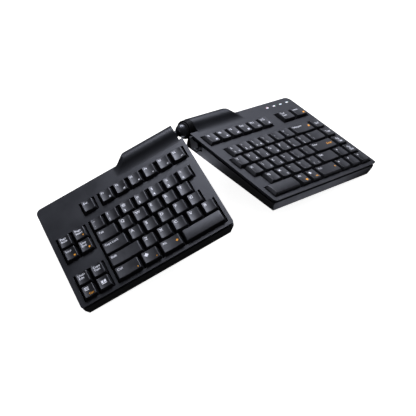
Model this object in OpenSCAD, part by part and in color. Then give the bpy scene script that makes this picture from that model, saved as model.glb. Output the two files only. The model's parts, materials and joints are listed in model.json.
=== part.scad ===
// Ergonomic split keyboard: two tented, splayed halves joined at the back by a lockable ball joint.
// Each half is drawn in its own deck frame: u runs outwards from the ball, y to the back,
// z up from the top plane of the case. The left half is the mirror of that frame.

/* [Posture] */
// Tent of the left half, inner edge up, in degrees
tent_left = 18.3; // [5:0.1:20]
// Splay of each half in plan, in degrees
splay = 10.2; // [5:0.1:14]
// Slope of the key deck over the base, back edge up, in degrees
wedge = 3.3; // [1:0.1:6]

/* [Keys] */
// Distance between the centres of neighbouring keys
key_pitch = 19.05; // [18.5:0.05:20]
// Gap between the skirts of neighbouring keycaps
cap_gap = 0.85; // [0.6:0.05:1.5]
// Height of the keycap tops over the deck
cap_top = 4.2; // [3:0.1:6]
// Height of a keycap from skirt to top
cap_h = 8.4; // [7.5:0.1:9.5]
// How far the keycap sides draw in at the top, left and right
cap_draw_side = 2.5; // [2:0.1:4]
// How far the keycap front draws in at the top
cap_draw_front = 1; // [0.6:0.1:3]
// How far the keycap back draws in at the top
cap_draw_back = 1.8; // [1:0.1:4]
// Radius of the finger dish across a keycap
dish_r = 30; // [20:1:60]
// Depth of the finger dish
dish_depth = 0.7; // [0.3:0.1:1.2]
// Narrowest key with a crowned top in place of a dish, in key pitches
crown_from = 2.5; // [2.3:0.05:2.5]
// Wall of a keycap
cap_wall = 1.3; // [1:0.1:1.8]
// Width of the square plunger under a keycap
plunger_w = 5; // [4:0.1:6]
// Travel of a key
key_travel = 3.5; // [2.5:0.1:4]
// Gap between the number row and the function row, in key pitches
function_gap = 0.56; // [0.3:0.02:0.8]
// Gap between the edit keys and the main block, in key pitches
edit_gap = 0.23; // [0.2:0.01:0.4]

/* [Case] */
// Thickness of the top plate of each half
deck_t = 2.4; // [2:0.1:3]
// Gap between a well's edge and the key cells in it
well_gap = 0.4; // [0.2:0.05:0.8]
// Rim inside the innermost key, left half
left_inner_rim = 4.9; // [4:0.1:8]
// Rim inside the innermost key, right half
right_inner_rim = 6.5; // [5.5:0.1:8]
// Rim outside the outermost key, left half
left_outer_rim = 7; // [6:0.1:12]
// Rim outside the outermost key, right half
right_outer_rim = 5; // [5:0.1:10]
// Rim in front of the bottom row
front_rim = 5.4; // [3.5:0.1:8]
// Strip behind the function row
back_rim = 23.3; // [21:0.1:26]
// Radius of the case's back corners in plan
corner_r = 7; // [4:0.5:9]
// Radius of the case's front corners in plan
front_corner_r = 3.5; // [3:0.1:6]
// Thickness of the deck's lip
lip_t = 1.2; // [0.8:0.1:1.8]
// Width of the deck's lip beyond its full thickness
lip_run = 1.5; // [0.8:0.1:2]
// Height of the case at its front edge
front_h = 18.5; // [18:0.5:24]
// Wall of the bottom case
wall = 1.6; // [1.4:0.1:1.8]
// Floor of the bottom case
floor_t = 2; // [1.5:0.1:2.2]
// Lap of the top case's skirt inside the bottom case
skirt_lap = 0.8; // [0.5:0.1:1]
// Thickness of the skirt
skirt_t = 0.8; // [0.6:0.1:1]
// Level of the bottom case's rim below the deck
rim_drop = 5; // [4:0.1:5.5]
// Set-back of the bottom case's rim from the case edge
rim_inset = 0.6; // [0.4:0.1:0.8]
// Inward run per unit of depth of the inner wall
inner_slope = 0.55; // [0.5:0.01:0.6]
// Inward run per unit of depth of the outer wall
outer_slope = 0.28; // [0.1:0.01:0.35]
// Inward run per unit of depth of the front wall
front_slope = 0.18; // [0.1:0.01:0.35]
// Inward run per unit of depth of the back wall
back_slope = 0.12; // [0.05:0.01:0.2]

/* [Barrel] */
// Outer radius of the barrel along the back of each half
barrel_r = 11.8; // [11:0.1:13]
// Radius of the bore in each barrel
barrel_bore_r = 8.2; // [7.5:0.1:8.6]
// Depth of that bore from the ball's centre
barrel_bore_depth = 62; // [45:1:66]
// Radius of the hollow sweep from the deck up to the barrel
sweep_r = 20; // [12:1:22]
// Distance from the ball to where the barrel has died into the deck
barrel_reach = 94; // [85:1:98]
// Length over which the barrel dies away
barrel_fade = 24; // [14:1:26]
// Distance from the ball to the left barrel's end
left_barrel_gap = 9; // [8.5:0.1:12]
// Distance from the ball to the right barrel's end
right_barrel_gap = 10.5; // [10:0.1:12]

/* [Ball joint] */
// Radius of the ball
ball_r = 8; // [7:0.1:8.2]
// Distance of the ball's centre behind the function row
ball_behind = 25; // [24.5:0.1:27]
// Depth of the ball's centre below the deck
ball_drop = 5.5; // [5:0.1:6]
// How far the ball's centre stands out of the left half
ball_reach = 4.6; // [4:0.1:6]
// How far the ball's centre lies inside the right half
ball_inset = 2.2; // [1:0.1:3]
// Radius of the stud's neck and shank
stud_r = 4; // [3:0.1:4.2]
// Depth of the stud's shank from the ball's centre
stud_depth = 40; // [36:1:42]
// Length of the stud bush
bush_len = 20; // [14:1:22]
// Thickness of the stud nut
nut_t = 6; // [4:0.5:7]
// Thickness of the liner round the ball
liner_t = 1.4; // [1:0.1:1.5]
// Set-back of the liner's mouth from the ball's centre
liner_mouth = 0.8; // [0.5:0.1:1.5]
// Set-back of the collar's mouth from the ball's centre
collar_mouth = 3; // [2.8:0.1:4]
// Radius of the collar over its ridges
collar_r = 11.2; // [10.9:0.1:11.3]
// Depth of the grooves between the ridges
ridge_depth = 0.6; // [0.3:0.1:0.8]
// Number of grooves in the collar
ridge_count = 3; // [2:1:4]
// Depth of the collar's shank in the barrel from the ball's centre
collar_depth = 30; // [24:1:40]
// Clearance of moving round fits
fit = 0.05; // [0.02:0.01:0.1]
// Clearance between the ball, the liner and the collar
ball_play = 0.15; // [0.1:0.01:0.3]

/* [Lock lever] */
// Distance of the lever's shaft outwards from the ball
lever_u = 6.5; // [6:0.1:6.8]
// Depth of the lever's shaft below the deck
lever_drop = 11; // [10.5:0.1:12]
// Radius of the lever's shaft
lever_shaft_r = 1.5; // [1.2:0.1:1.6]
// Distance of the finger tab's middle in front of the ball
tab_front = 31.4; // [31:0.1:33]
// Width of the finger tab
tab_w = 4.5; // [3:0.1:5]
// Thickness of the finger tab
tab_t = 1.8; // [1.4:0.1:2.2]
// Length of the finger tab from its shaft
tab_len = 12.7; // [11:0.1:13]
// Downward lean of the finger tab, in degrees
tab_lean = 7; // [0:1:10]
// Radius of the pad that presses on the liner
shoe_r = 2.2; // [1.6:0.1:2.4]

/* [Inside] */
// Thickness of the key plate
plate_t = 1.5; // [1.2:0.1:1.6]
// Thickness of the dome sheet
sheet_t = 0.8; // [0.6:0.1:1]
// Radius of a rubber dome at its foot
dome_r = 4; // [3.8:0.1:4.1]
// Thickness of the contact membrane
membrane_t = 0.5; // [0.3:0.1:0.6]
// Thickness of the steel backing plate
backing_t = 0.8; // [0.6:0.1:1]
// Radius of a case screw's boss
boss_r = 3.5; // [3.3:0.1:3.8]
// Radius of a case screw's shank
screw_r = 1.2; // [1:0.1:1.4]
// Radius of a case screw's head
screw_head_r = 2.6; // [2.2:0.1:2.8]
// Distance of the case screws behind the function row
screw_strip = 12.3; // [11:0.1:13]
// Distance of the left half's corner screw from its outer edge
left_corner_screw = 20; // [12:0.5:24]
// Distance of the right half's corner screw from its outer edge
right_corner_screw = 7.5; // [7:0.1:9]
// Depth of the right half's corner screw behind the function row
right_corner_strip = 6.2; // [5.8:0.1:6.6]
// Distance of the left half's back screw beyond the barrel
left_back_screw = 24; // [12:1:30]
// Distance of the right half's back screw beyond the barrel
right_back_screw = 12; // [10:0.5:13]
// Distance of the first indicator lens from the right half's outer edge
lens_edge = 49; // [48:0.1:63]
// Distance of the indicator lenses behind the function row
lens_strip = 14.4; // [13.5:0.1:15]
// Spacing of the indicator lenses
lens_pitch = 12.7; // [10:0.1:14]
// Length of an indicator lens
lens_len = 4.6; // [3:0.1:6]
// Width of an indicator lens
lens_w = 1.8; // [1:0.1:2.4]
// Thickness of the control board
board_t = 1.6; // [1:0.1:2]
// Width of the control board
board_w = 48; // [46:1:50]
// Depth of the control board
board_d = 9; // [8:0.5:9.5]
// Distance of the cable gland beyond the barrel
gland_beyond = 16; // [14:0.5:20]

/* [Feet] */
// Distance of a front pad from the front edge
pad_front_end = 22; // [16:1:30]
// Distance of a back pad in front of the ball
pad_back_end = 34; // [30:1:40]
// Radius of the round feet along the outer edges
foot_r = 4; // [3.5:0.1:4.5]
// How far the feet stand below the base
foot_proud = 2.5; // [2:0.1:3]
// Depth of the flat on a round foot where it meets the desk
foot_flat = 0.25; // [0.1:0.05:0.4]
// Length of a round foot
foot_len = 32; // [20:1:50]
// Distance of a round foot from the front or back edge
foot_end = 14; // [8:1:20]
// Distance of the flat feet from the inner edge
pad_inset = 34; // [28:1:40]
// Radius of the flat feet near the inner edge
pad_r = 5; // [4:0.5:6]

/* [Hidden] */
$fn = 64;
LEFT = -1;
RIGHT = 1;
big = 500;
eps = 0.01;

// Rows, counted in key pitches from the back edge of the number row
number_row = -0.5;
upper_row = -1.5;
home_row = -2.5;
lower_row = -3.5;
space_row = -4.5;
function_row = function_gap + 0.5;
rows_deep = 5;
left_edge_keys = -2 - edit_gap;
left_inner_keys = 7.25;
right_inner_keys = -0.5;
right_edge_keys = 9;

// Each key is its left edge, its row and its width, all in key pitches
escape_set = [[0, function_row, 1]];
left_function_set = [for (i = [0:5]) [1.25 + i, function_row, 1]];
left_number_set = [for (i = [0:6]) [i, number_row, 1]];
tab_set = [[0, upper_row, 1.5]];
left_upper_set = [for (i = [0:4]) [1.5 + i, upper_row, 1]];
caps_set = [[0, home_row, 1.75]];
left_home_set = [for (i = [0:4]) [1.75 + i, home_row, 1]];
left_shift_set = [[0, lower_row, 2.25]];
left_lower_set = [for (i = [0:4]) [2.25 + i, lower_row, 1]];
left_control_set = [[0, space_row, 1.75]];
left_system_set = [[1.75, space_row, 1.25]];
left_alt_set = [[3, space_row, 1.5]];
left_space_set = [[4.5, space_row, 2.75]];
upper_edit_set = [for (i = [0:1]) for (row = [number_row, upper_row]) [left_edge_keys + i, row, 1]];
lower_edit_set = [for (i = [0:1]) for (row = [lower_row, space_row]) [left_edge_keys + i, row, 1]];
right_function_set = [for (i = [0:5]) [-0.5 + i, function_row, 1]];
screen_set = [for (i = [0:1]) [6.5 + 1.25 * i, function_row, 1.25]];
right_number_set = [for (i = [0:5]) [i, number_row, 1]];
backspace_set = [[6, number_row, 2]];
right_upper_set = [for (i = [0:6]) [-0.5 + i, upper_row, 1]];
backslash_set = [[6.5, upper_row, 1.5]];
right_home_set = [for (i = [0:5]) [-0.25 + i, home_row, 1]];
enter_set = [[5.75, home_row, 2.25]];
right_lower_set = [for (i = [0:4]) [0.25 + i, lower_row, 1]];
right_shift_set = [[5.25, lower_row, 1.75]];
right_space_set = [[-0.5, space_row, 2.5]];
right_alt_set = [[2, space_row, 1]];
right_system_set = [[3, space_row, 1]];
right_control_set = [[4, space_row, 2]];
arrow_set = concat([[7, lower_row, 1]], [for (i = [0:2]) [6 + i, space_row, 1]]);
navigation_set = [for (row = [number_row, upper_row, home_row, lower_row]) [8, row, 1]];
left_keys = concat(escape_set, left_function_set, left_number_set, tab_set, left_upper_set, caps_set,
    left_home_set, left_shift_set, left_lower_set, left_control_set, left_system_set, left_alt_set,
    left_space_set, upper_edit_set, lower_edit_set);
right_keys = concat(right_function_set, screen_set, right_number_set, backspace_set, right_upper_set,
    backslash_set, right_home_set, enter_set, right_lower_set, right_shift_set, right_space_set,
    right_alt_set, right_system_set, right_control_set, arrow_set, navigation_set);

// Wells as first column, last column, front and back, in key pitches
left_wells = [
    [0, 7, -1, 0],
    [0, 6.5, -2, -1],
    [0, 6.75, -3, -2],
    [0, left_inner_keys, -rows_deep, -3],
    [0, 1, function_row - 0.5, function_row + 0.5],
    [1.25, 7.25, function_row - 0.5, function_row + 0.5],
    [left_edge_keys, -edit_gap, -2, 0],
    [left_edge_keys, -edit_gap, -rows_deep, -3]
];
right_wells = [
    [0, right_edge_keys, -1, 0],
    [right_inner_keys, right_edge_keys, -2, -1],
    [-0.25, right_edge_keys, -3, -2],
    [0.25, right_edge_keys, -4, -3],
    [right_inner_keys, right_edge_keys, -rows_deep, -4],
    [-0.5, 5.5, function_row - 0.5, function_row + 0.5],
    [6.5, right_edge_keys, function_row - 0.5, function_row + 0.5]
];

// Plan of each half in its deck frame
left_in = ball_reach;
right_in = -ball_inset;
left_out = left_in + left_inner_rim + (left_inner_keys - left_edge_keys) * key_pitch + left_outer_rim;
right_out = right_in + right_inner_rim + (right_edge_keys - right_inner_keys) * key_pitch + right_outer_rim;
left_key_zero = left_in + left_inner_rim + left_inner_keys * key_pitch;
right_key_zero = right_in + right_inner_rim - right_inner_keys * key_pitch;
front_y = -rows_deep * key_pitch - front_rim;
function_back = (function_row + 0.5) * key_pitch;
back_y = function_back + back_rim;
ball_y = function_back + ball_behind;

function tent(side) = side == LEFT ? tent_left : tent_right;
function u_in(side) = side == LEFT ? left_in : right_in;
function u_out(side) = side == LEFT ? left_out : right_out;
function barrel_start(side) = side == LEFT ? left_barrel_gap : right_barrel_gap;
function key_u(side, x) = side == LEFT ? left_key_zero - x * key_pitch : right_key_zero + x * key_pitch;
function key_centre(side, k) = [key_u(side, k[0] + k[2] / 2), k[1] * key_pitch];
function keys_of(side) = side == LEFT ? left_keys : right_keys;
function wells_of(side) = side == LEFT ? left_wells : right_wells;

// Base plane, level in the half's own base frame below the ball
deck_rise_front = (front_y - ball_y) * sin(wedge) + ball_drop * cos(wedge);
base_z = deck_rise_front - front_h;
function base_at(y) = (base_z - (y - ball_y) * sin(wedge)) / cos(wedge) - ball_drop;

// Stance: both outer feet stand on the desk, which sets the height of the ball and the right tent
foot_side = rim_inset + outer_slope * (front_h - rim_drop) + wall;
left_foot_u = left_out - foot_side;
right_foot_u = right_out - foot_side;
foot_depth = foot_proud - foot_r - base_z;
ball_fall = left_foot_u * sin(tent_left) + foot_depth * cos(tent_left);
tent_right = asin(ball_fall / norm([right_foot_u, foot_depth])) - atan2(foot_depth, right_foot_u);
ball_height = ball_fall + foot_r - foot_flat;
plan_left = left_out * cos(tent_left) * cos(splay);
plan_right = right_out * cos(tent_right) * cos(splay);
front_reach = (ball_y - front_y) * cos(splay);
back_reach = left_out * cos(tent_left) * sin(splay) - (ball_y - back_y) * cos(splay);
ball_world_x = (plan_left - plan_right) / 2;
ball_world_y = (front_reach - back_reach) / 2;

// Levels of the layers under the keys
skirt_level = cap_top - cap_h;
plate_top = skirt_level - key_travel - 0.5;
plate_bottom = plate_top - plate_t;
plunger_end = plate_bottom - 0.4;
dome_play = 0.1;
dome_h = 4;
sheet_top = plunger_end - dome_play - dome_h;
sheet_bottom = sheet_top - sheet_t;
membrane_bottom = sheet_bottom - membrane_t;
backing_bottom = membrane_bottom - backing_t;
plunger_play = 0.15;
layer_play = 0.3;
boss_play = 0.6;
boss_join = -rim_drop - 2;
skirt_play = 0.15;
skirt_h = rim_drop + skirt_lap;
skirt_inset = rim_inset + wall + inner_slope * skirt_lap + skirt_play;
stack_depth = -backing_bottom - rim_drop;
lever_corridor = lever_u + lever_shaft_r + 0.6;
stack_back = function_back + 0.7;
stack_front = front_y + rim_inset + wall + front_slope * stack_depth + layer_play;
function stack_in(side) = max(u_in(side) + rim_inset + wall + inner_slope * stack_depth + layer_play,
    side == RIGHT ? lever_corridor : 0);
function stack_out(side) = u_out(side) - rim_inset - wall - outer_slope * stack_depth - layer_play;

// Case screws as u and y in the deck frame
strip_y = function_gap / 2 * key_pitch;
edit_strip_y = -2.5 * key_pitch;
back_screw_y = function_back + screw_strip;
left_screws = [
    [key_u(LEFT, left_edge_keys + 1), strip_y],
    [key_u(LEFT, 3.15), strip_y],
    [key_u(LEFT, 6.45), strip_y],
    [key_u(LEFT, left_edge_keys + 1), edit_strip_y],
    [left_out - left_corner_screw, back_screw_y],
    [barrel_reach + left_back_screw, back_screw_y]
];
right_screws = [
    [key_u(RIGHT, 1), strip_y],
    [key_u(RIGHT, 5.25), strip_y],
    [key_u(RIGHT, 8), strip_y],
    [key_u(RIGHT, 0), -3.45 * key_pitch],
    [right_out - right_corner_screw, function_back + right_corner_strip],
    [barrel_reach + right_back_screw, back_screw_y]
];
function screws_of(side) = side == LEFT ? left_screws : right_screws;
screw_head_h = 1.8;
screw_sink = 1;
head_seat = floor_t + 1.6;
pilot_end = -deck_t + 0.8;

// Posts under the backing plate, in key pitches from the first key
post_columns = [1.5, 4, 6];
post_rows = [-4, -2];
post_r = 3;

// Barrel and sweep
sweep_run = sqrt(pow(sweep_r + barrel_r, 2) - pow(sweep_r + ball_drop, 2));
sweep_y = ball_y - sweep_run;
sweep_top = -ball_drop + (sweep_r + ball_drop) * barrel_r / (sweep_r + barrel_r);
fade_start = barrel_reach - barrel_fade;
fade_steps = 26;
slant_steps = 19;
slant_lead = 0.5;
slant_sink = 1.2;
notch_gap = 2.4;
notch_y = ball_y - barrel_r - notch_gap;
function fade(t) = (1 + cos(180 * t)) / 2;

// Ball joint
liner_in = ball_r + ball_play;
liner_out = liner_in + liner_t;
socket_r = liner_out + ball_play;
shank_r = barrel_bore_r - fit;
nut_start = stud_depth - nut_t - 2;
bush_start = left_barrel_gap + 1;
collar_len = right_barrel_gap - collar_mouth - 0.3;
groove_w = collar_len / (2 * ridge_count + 1);

// Lever: the shaft lies along y, the finger tab passes out through the inner wall
tab_y = ball_y - tab_front;
lever_front = tab_y - tab_w / 2;
lever_back = notch_y - 0.6;
nut_end_len = 5;
nut_end_r = 2.6;
lead_r = 1.2;
lead_lap = 3;
shoe_travel = 0.6;
shoe_play = 0.3;
bearing_start = stack_back + 0.6;
bearing_end = lever_back - nut_end_len - shoe_play;
shoe_start = notch_y + shoe_travel + shoe_play;
shoe_end = ball_y - collar_r - shoe_play;
slot_play = 1;

// Indicators and control board
lens_y = function_back + lens_strip;
lens_u = right_out - lens_edge;
lens_proud = 0.2;
lens_lip = 0.6;
board_top = -8;
board_u = lens_u + 1.5 * lens_pitch - board_w / 2;
board_back = back_y - rim_inset - wall - back_slope * (board_t - board_top - rim_drop) - 0.4;
board_y = board_back - board_d;
board_post_w = 4;
light_r = 1.3;

// Cable gland in the right half's back wall
gland_u = barrel_reach + gland_beyond;
gland_r = 4;
gland_bore_r = 1.6;
gland_drop = 13;

// Feet near the inner edges, on the base
foot_sink = 0.6 * floor_t;
pad_front = front_y + pad_front_end;
pad_back = ball_y - pad_back_end;

case_colour = "#2b2c30";
base_colour = "#1b1b1d";
cap_colour = "#26272a";
joint_colour = "#121213";
steel_colour = "#8d9096";
rubber_colour = "#3a3a3c";
sheet_colour = "#c9c6bd";
board_colour = "#23452f";
lens_colour = "#eef2f4";

// Places children drawn in the deck frame of one half
module on_deck(side) {
    translate([ball_world_x, ball_world_y, ball_height])
        rotate([0, 0, side * splay])
            rotate([0, side * tent(side), 0])
                rotate([wedge, 0, 0])
                    translate([0, -ball_y, ball_drop])
                        scale_side(side) children();
}

// Mirrors the deck frame for the left half
module scale_side(side) {
    if (side == LEFT) {
        mirror([1, 0, 0]) children();
    } else {
        children();
    }
}

// Moves to the ball's centre, with z along the barrel's axis, outwards
module at_ball() {
    translate([0, ball_y, -ball_drop]) rotate([0, 90, 0]) children();
}

// Moves to the base plane of the half, below the ball
module on_base() {
    translate([0, ball_y, -ball_drop]) rotate([-wedge, 0, 0]) translate([0, 0, base_z]) children();
}

// Rectangle with round corners, of one radius at its front and another at its back
module rounded(x0, x1, y0, y1, front, back) {
    polygon([
        [x0, y0 + front], [x0 + front, y0], [x1 - front, y0], [x1, y0 + front],
        [x1, y1 - back], [x1 - back, y1], [x0 + back, y1], [x0, y1 - back]
    ]);
    for (side = [0, 1]) {
        translate([side == 0 ? x0 + front : x1 - front, y0 + front]) circle(front);
        translate([side == 0 ? x0 + back : x1 - back, y1 - back]) circle(back);
    }
}

// Plan of a half, set in from its edge
module case_plan(side, inset) {
    rounded(u_in(side) + inset, u_out(side) - inset, front_y + inset, back_y - inset,
        front_corner_r - inset / 2, corner_r - inset / 2);
}

// Prism between two levels of the deck frame
module slab(low, high) {
    translate([0, 0, low]) linear_extrude(high - low) children();
}

// Everything above the base plane, raised by a floor
module above_base(floor) {
    on_base() translate([-big / 2, -big / 2, floor]) cube(big);
}

// Solid of the bottom case with sloping walls, set in by a wall and a floor
module tub(side, inset, floor, top) {
    run = big / 10;
    edge = rim_inset + inset;
    high = top - rim_drop;
    intersection() {
        slab(-big / 4, high) case_plan(side, edge);
        translate([0, big / 2, 0]) rotate([90, 0, 0]) linear_extrude(big) polygon([
            [u_in(side) + edge - inner_slope * top, high],
            [u_out(side) - edge + outer_slope * top, high],
            [u_out(side) - edge - outer_slope * run, -rim_drop - run],
            [u_in(side) + edge + inner_slope * run, -rim_drop - run]
        ]);
        translate([-big / 2, 0, 0]) rotate([90, 0, 90]) linear_extrude(big) polygon([
            [front_y + edge - front_slope * top, high],
            [back_y - edge + back_slope * top, high],
            [back_y - edge - back_slope * run, -rim_drop - run],
            [front_y + edge + front_slope * run, -rim_drop - run]
        ]);
        above_base(floor);
    }
}

// Plan of the barrel, dying into the back edge of the case
module barrel_plan(side) {
    polygon(concat(
        [[barrel_start(side), sweep_y], [barrel_start(side), ball_y + barrel_r + 1]],
        [for (i = [0:fade_steps])
            [fade_start + barrel_fade * i / fade_steps,
             back_y - rim_inset + (ball_y + barrel_r + 1 - back_y + rim_inset) * fade(i / fade_steps)]],
        [[barrel_reach, sweep_y]]
    ));
}

// Side view of the barrel, dying down into the deck
module barrel_side(side) {
    polygon(concat(
        [[barrel_start(side), -big / 10], [barrel_start(side), barrel_r - ball_drop + 1]],
        [for (i = [0:fade_steps])
            [fade_start + barrel_fade * i / fade_steps,
             (barrel_r - ball_drop + 1) * fade(i / fade_steps)]],
        [[barrel_reach, -big / 10]]
    ));
}

// Slanting view of the barrel, square to the line between its crest and its back, dying into the case
module barrel_slant() {
    high = barrel_r + slant_lead;
    low = (back_y - rim_inset - ball_y + ball_drop) / sqrt(2) - slant_sink;
    polygon(concat(
        [[-1, -big / 10], [-1, high]],
        [for (i = [0:slant_steps])
            [fade_start + barrel_fade * i / slant_steps, low + (high - low) * fade(i / slant_steps)]],
        [[barrel_reach + 1, low], [barrel_reach + 1, -big / 10]]
    ));
}

// Barrel along the back of a half, with the hollow sweep up from the deck
module barrel(side) {
    intersection() {
        rotate([90, 0, 90]) linear_extrude(barrel_reach) {
            translate([ball_y, -ball_drop]) circle(barrel_r);
            difference() {
                translate([sweep_y, -deck_t]) square([ball_y - sweep_y, sweep_top + deck_t]);
                translate([sweep_y, sweep_r]) circle(sweep_r, $fn = 128);
            }
        }
        slab(-big / 4, big / 4) barrel_plan(side);
        translate([0, big / 2, 0]) rotate([90, 0, 0]) linear_extrude(big) barrel_side(side);
        translate([0, ball_y, -ball_drop]) rotate([-45, 0, 0]) translate([0, big / 2, 0]) rotate([90, 0, 0])
            linear_extrude(big) barrel_slant();
    }
}

// Bore of the barrel, from beyond its end
module barrel_bore() {
    at_ball() cylinder(r = barrel_bore_r, h = barrel_bore_depth);
}

// Open corner round the ball at the inner back of a half
module joint_notch(side) {
    translate([-big / 10, notch_y, -big / 4]) cube([big / 10 + barrel_start(side), big / 4, big / 2]);
}

// Slot through the inner wall for the finger tab
module lever_slot() {
    slot_low = lever_drop + tab_t + slot_play + 1.5;
    translate([right_in - 1, lever_front - slot_play, -slot_low])
        cube([lever_u - right_in + 2 + wall, tab_w + 2 * slot_play, slot_low - deck_t]);
}

// All wells of one half
module wells(side) {
    for (w = wells_of(side)) {
        a = min(key_u(side, w[0]), key_u(side, w[1])) - well_gap;
        b = max(key_u(side, w[0]), key_u(side, w[1])) + well_gap;
        translate([a, w[2] * key_pitch - well_gap])
            square([b - a, (w[3] - w[2]) * key_pitch + 2 * well_gap]);
    }
}

// One copy of the children at each case screw
module at_screws(side) {
    for (p = screws_of(side)) {
        translate([p[0], p[1], 0]) children();
    }
}

// Top shell with wells, skirt and the upper half of the barrel
module top_case(side) {
    on_deck(side) difference() {
        union() {
            slab(-lip_t, 0) case_plan(side, 0);
            slab(-deck_t, -lip_t + eps) case_plan(side, lip_run);
            difference() {
                slab(-skirt_h, -deck_t + eps) difference() {
                    case_plan(side, skirt_inset);
                    case_plan(side, skirt_inset + skirt_t);
                }
                translate([-big / 4, sweep_y, -big / 4])
                    cube([big / 4 + barrel_reach + 1, big / 2, big / 2]);
            }
            intersection() {
                barrel(side);
                translate([-big / 4, 0, -rim_drop]) cube(big / 2);
            }
            at_screws(side) slab(boss_join, -deck_t + eps) circle(boss_r);
        }
        slab(-skirt_h - 1, 1) wells(side);
        barrel_bore();
        joint_notch(side);
        at_screws(side) slab(boss_join - 1, pilot_end) circle(screw_r + fit);
        if (side == RIGHT) {
            lever_slot();
            at_lenses() slab(-deck_t - 1, 1) lens_plan(0.1);
        }
    }
}

// Bottom shell with sloping walls, posts, bosses and the lower half of the barrel
module bottom_case(side) {
    on_deck(side) difference() {
        union() {
            difference() {
                tub(side, 0, 0, 0);
                tub(side, wall, floor_t, 1);
            }
            intersection() {
                tub(side, 0, 0, 0);
                union() {
                    at_screws(side) slab(-big / 10, boss_join) circle(boss_r);
                    for (c = post_columns) {
                        for (r = post_rows) {
                            translate([key_u(side, c), r * key_pitch])
                                slab(-big / 10, backing_bottom) circle(post_r);
                        }
                    }
                    translate([-big / 10, notch_y - wall, -big / 10])
                        cube([big / 10 + barrel_start(side) + wall, wall, big / 10 - rim_drop]);
                    translate([barrel_start(side), notch_y - wall, -big / 10])
                        cube([wall, big / 4, big / 10 - rim_drop]);
                    if (side == RIGHT) {
                        for (u = [board_u, board_u + board_w - board_post_w]) {
                            translate([u, board_y, -big / 10])
                                cube([board_post_w, board_d, big / 10 + board_top - board_t]);
                        }
                    }
                }
            }
            intersection() {
                barrel(side);
                translate([-big / 4, 0, -big / 2 - rim_drop]) cube(big / 2);
            }
        }
        barrel_bore();
        joint_notch(side);
        for (p = screws_of(side)) {
            low = base_at(p[1]);
            translate([p[0], p[1]]) {
                slab(low - 5, boss_join + 1) circle(screw_r + 0.3);
                slab(low - 5, low + head_seat) circle(screw_head_r + 0.3);
            }
        }
        foot_shapes(side, fit);
        if (side == RIGHT) {
            lever_slot();
            translate([lever_u, notch_y + 1, -lever_drop]) rotate([90, 0, 0])
                cylinder(r = nut_end_r + 0.4, h = wall + 2);
            at_gland() cylinder(r = gland_r + fit, h = 4 * wall, center = true);
        }
    }
}

// Outline of the layers under the keys, with holes round the screw bosses
module stack_plan(side, inset) {
    difference() {
        translate([stack_in(side) + inset, stack_front + inset])
            square([stack_out(side) - stack_in(side) - 2 * inset, stack_back - stack_front - 2 * inset]);
        at_screws(side) circle(boss_r + boss_play);
    }
}

// Stiff tray that guides the plungers, with a rim that stands on the dome sheet
module key_plate(side) {
    rim = 0.9;
    on_deck(side) difference() {
        union() {
            slab(plate_bottom, plate_top) stack_plan(side, 0);
            difference() {
                slab(sheet_top, plate_bottom + eps) stack_plan(side, 0);
                slab(sheet_top - 1, plate_bottom + 1) translate([stack_in(side) + rim, stack_front + rim])
                    square([stack_out(side) - stack_in(side) - 2 * rim, stack_back - stack_front - 2 * rim]);
            }
        }
        for (k = keys_of(side)) {
            translate(key_centre(side, k)) slab(plate_bottom - 1, plate_top + 1)
                square(plunger_w + 2 * plunger_play, center = true);
        }
    }
}

// Rubber sheet with one dome under each plunger
module dome_sheet(side) {
    crown = 0.62;
    skin = 0.7;
    on_deck(side) difference() {
        union() {
            slab(sheet_bottom, sheet_top) stack_plan(side, 0);
            for (k = keys_of(side)) {
                translate(concat(key_centre(side, k), sheet_top - eps))
                    cylinder(r1 = dome_r, r2 = dome_r * crown, h = dome_h + eps);
            }
        }
        for (k = keys_of(side)) {
            translate(concat(key_centre(side, k), sheet_bottom - eps))
                cylinder(r1 = dome_r - skin, r2 = dome_r * crown - skin, h = sheet_t + dome_h - 2 * skin);
        }
    }
}

// Thin layer of the stack between two levels
module stack_layer(side, low, high) {
    on_deck(side) slab(low, high) stack_plan(side, 0);
}

// Screws driven up through the bottom case into the top case
module case_screws(side) {
    on_deck(side) for (p = screws_of(side)) {
        seat = base_at(p[1]) + head_seat;
        translate([p[0], p[1], 0]) difference() {
            union() {
                slab(seat - screw_head_h, seat) circle(screw_head_r);
                slab(seat - eps, pilot_end - screw_sink) circle(screw_r);
            }
            slab(seat - screw_head_h - 1, seat - screw_head_h / 2) for (a = [0, 90]) {
                rotate(a) square([screw_head_r * 1.2, 0.7], center = true);
            }
        }
    }
}

// Round feet along the outer edge and flat feet near the inner edge
module foot_shapes(side, grow) {
    u = u_out(side) - foot_side;
    on_base() {
        for (y = [front_y - ball_y + foot_len / 2 + foot_end, back_y - ball_y - foot_len / 2 - foot_end]) {
            intersection() {
                translate([u, y, foot_r - foot_proud]) rotate([90, 0, 0])
                    cylinder(r = foot_r + grow, h = foot_len + 2 * grow, center = true);
                translate([-big / 2, -big / 2, foot_sink + grow - big]) cube(big);
                translate([u, y, foot_r - foot_proud]) rotate([0, -tent(side), 0])
                    translate([-big / 2, -big / 2, foot_flat - foot_r]) cube(big);
            }
        }
        for (y = [pad_front - ball_y, pad_back - ball_y]) {
            translate([u_in(side) + pad_inset, y, -foot_proud])
                cylinder(r = pad_r + grow, h = foot_proud + foot_sink + grow);
        }
    }
}

// Set of rubber feet of one half
module feet(side) {
    on_deck(side) foot_shapes(side, 0);
}

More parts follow.
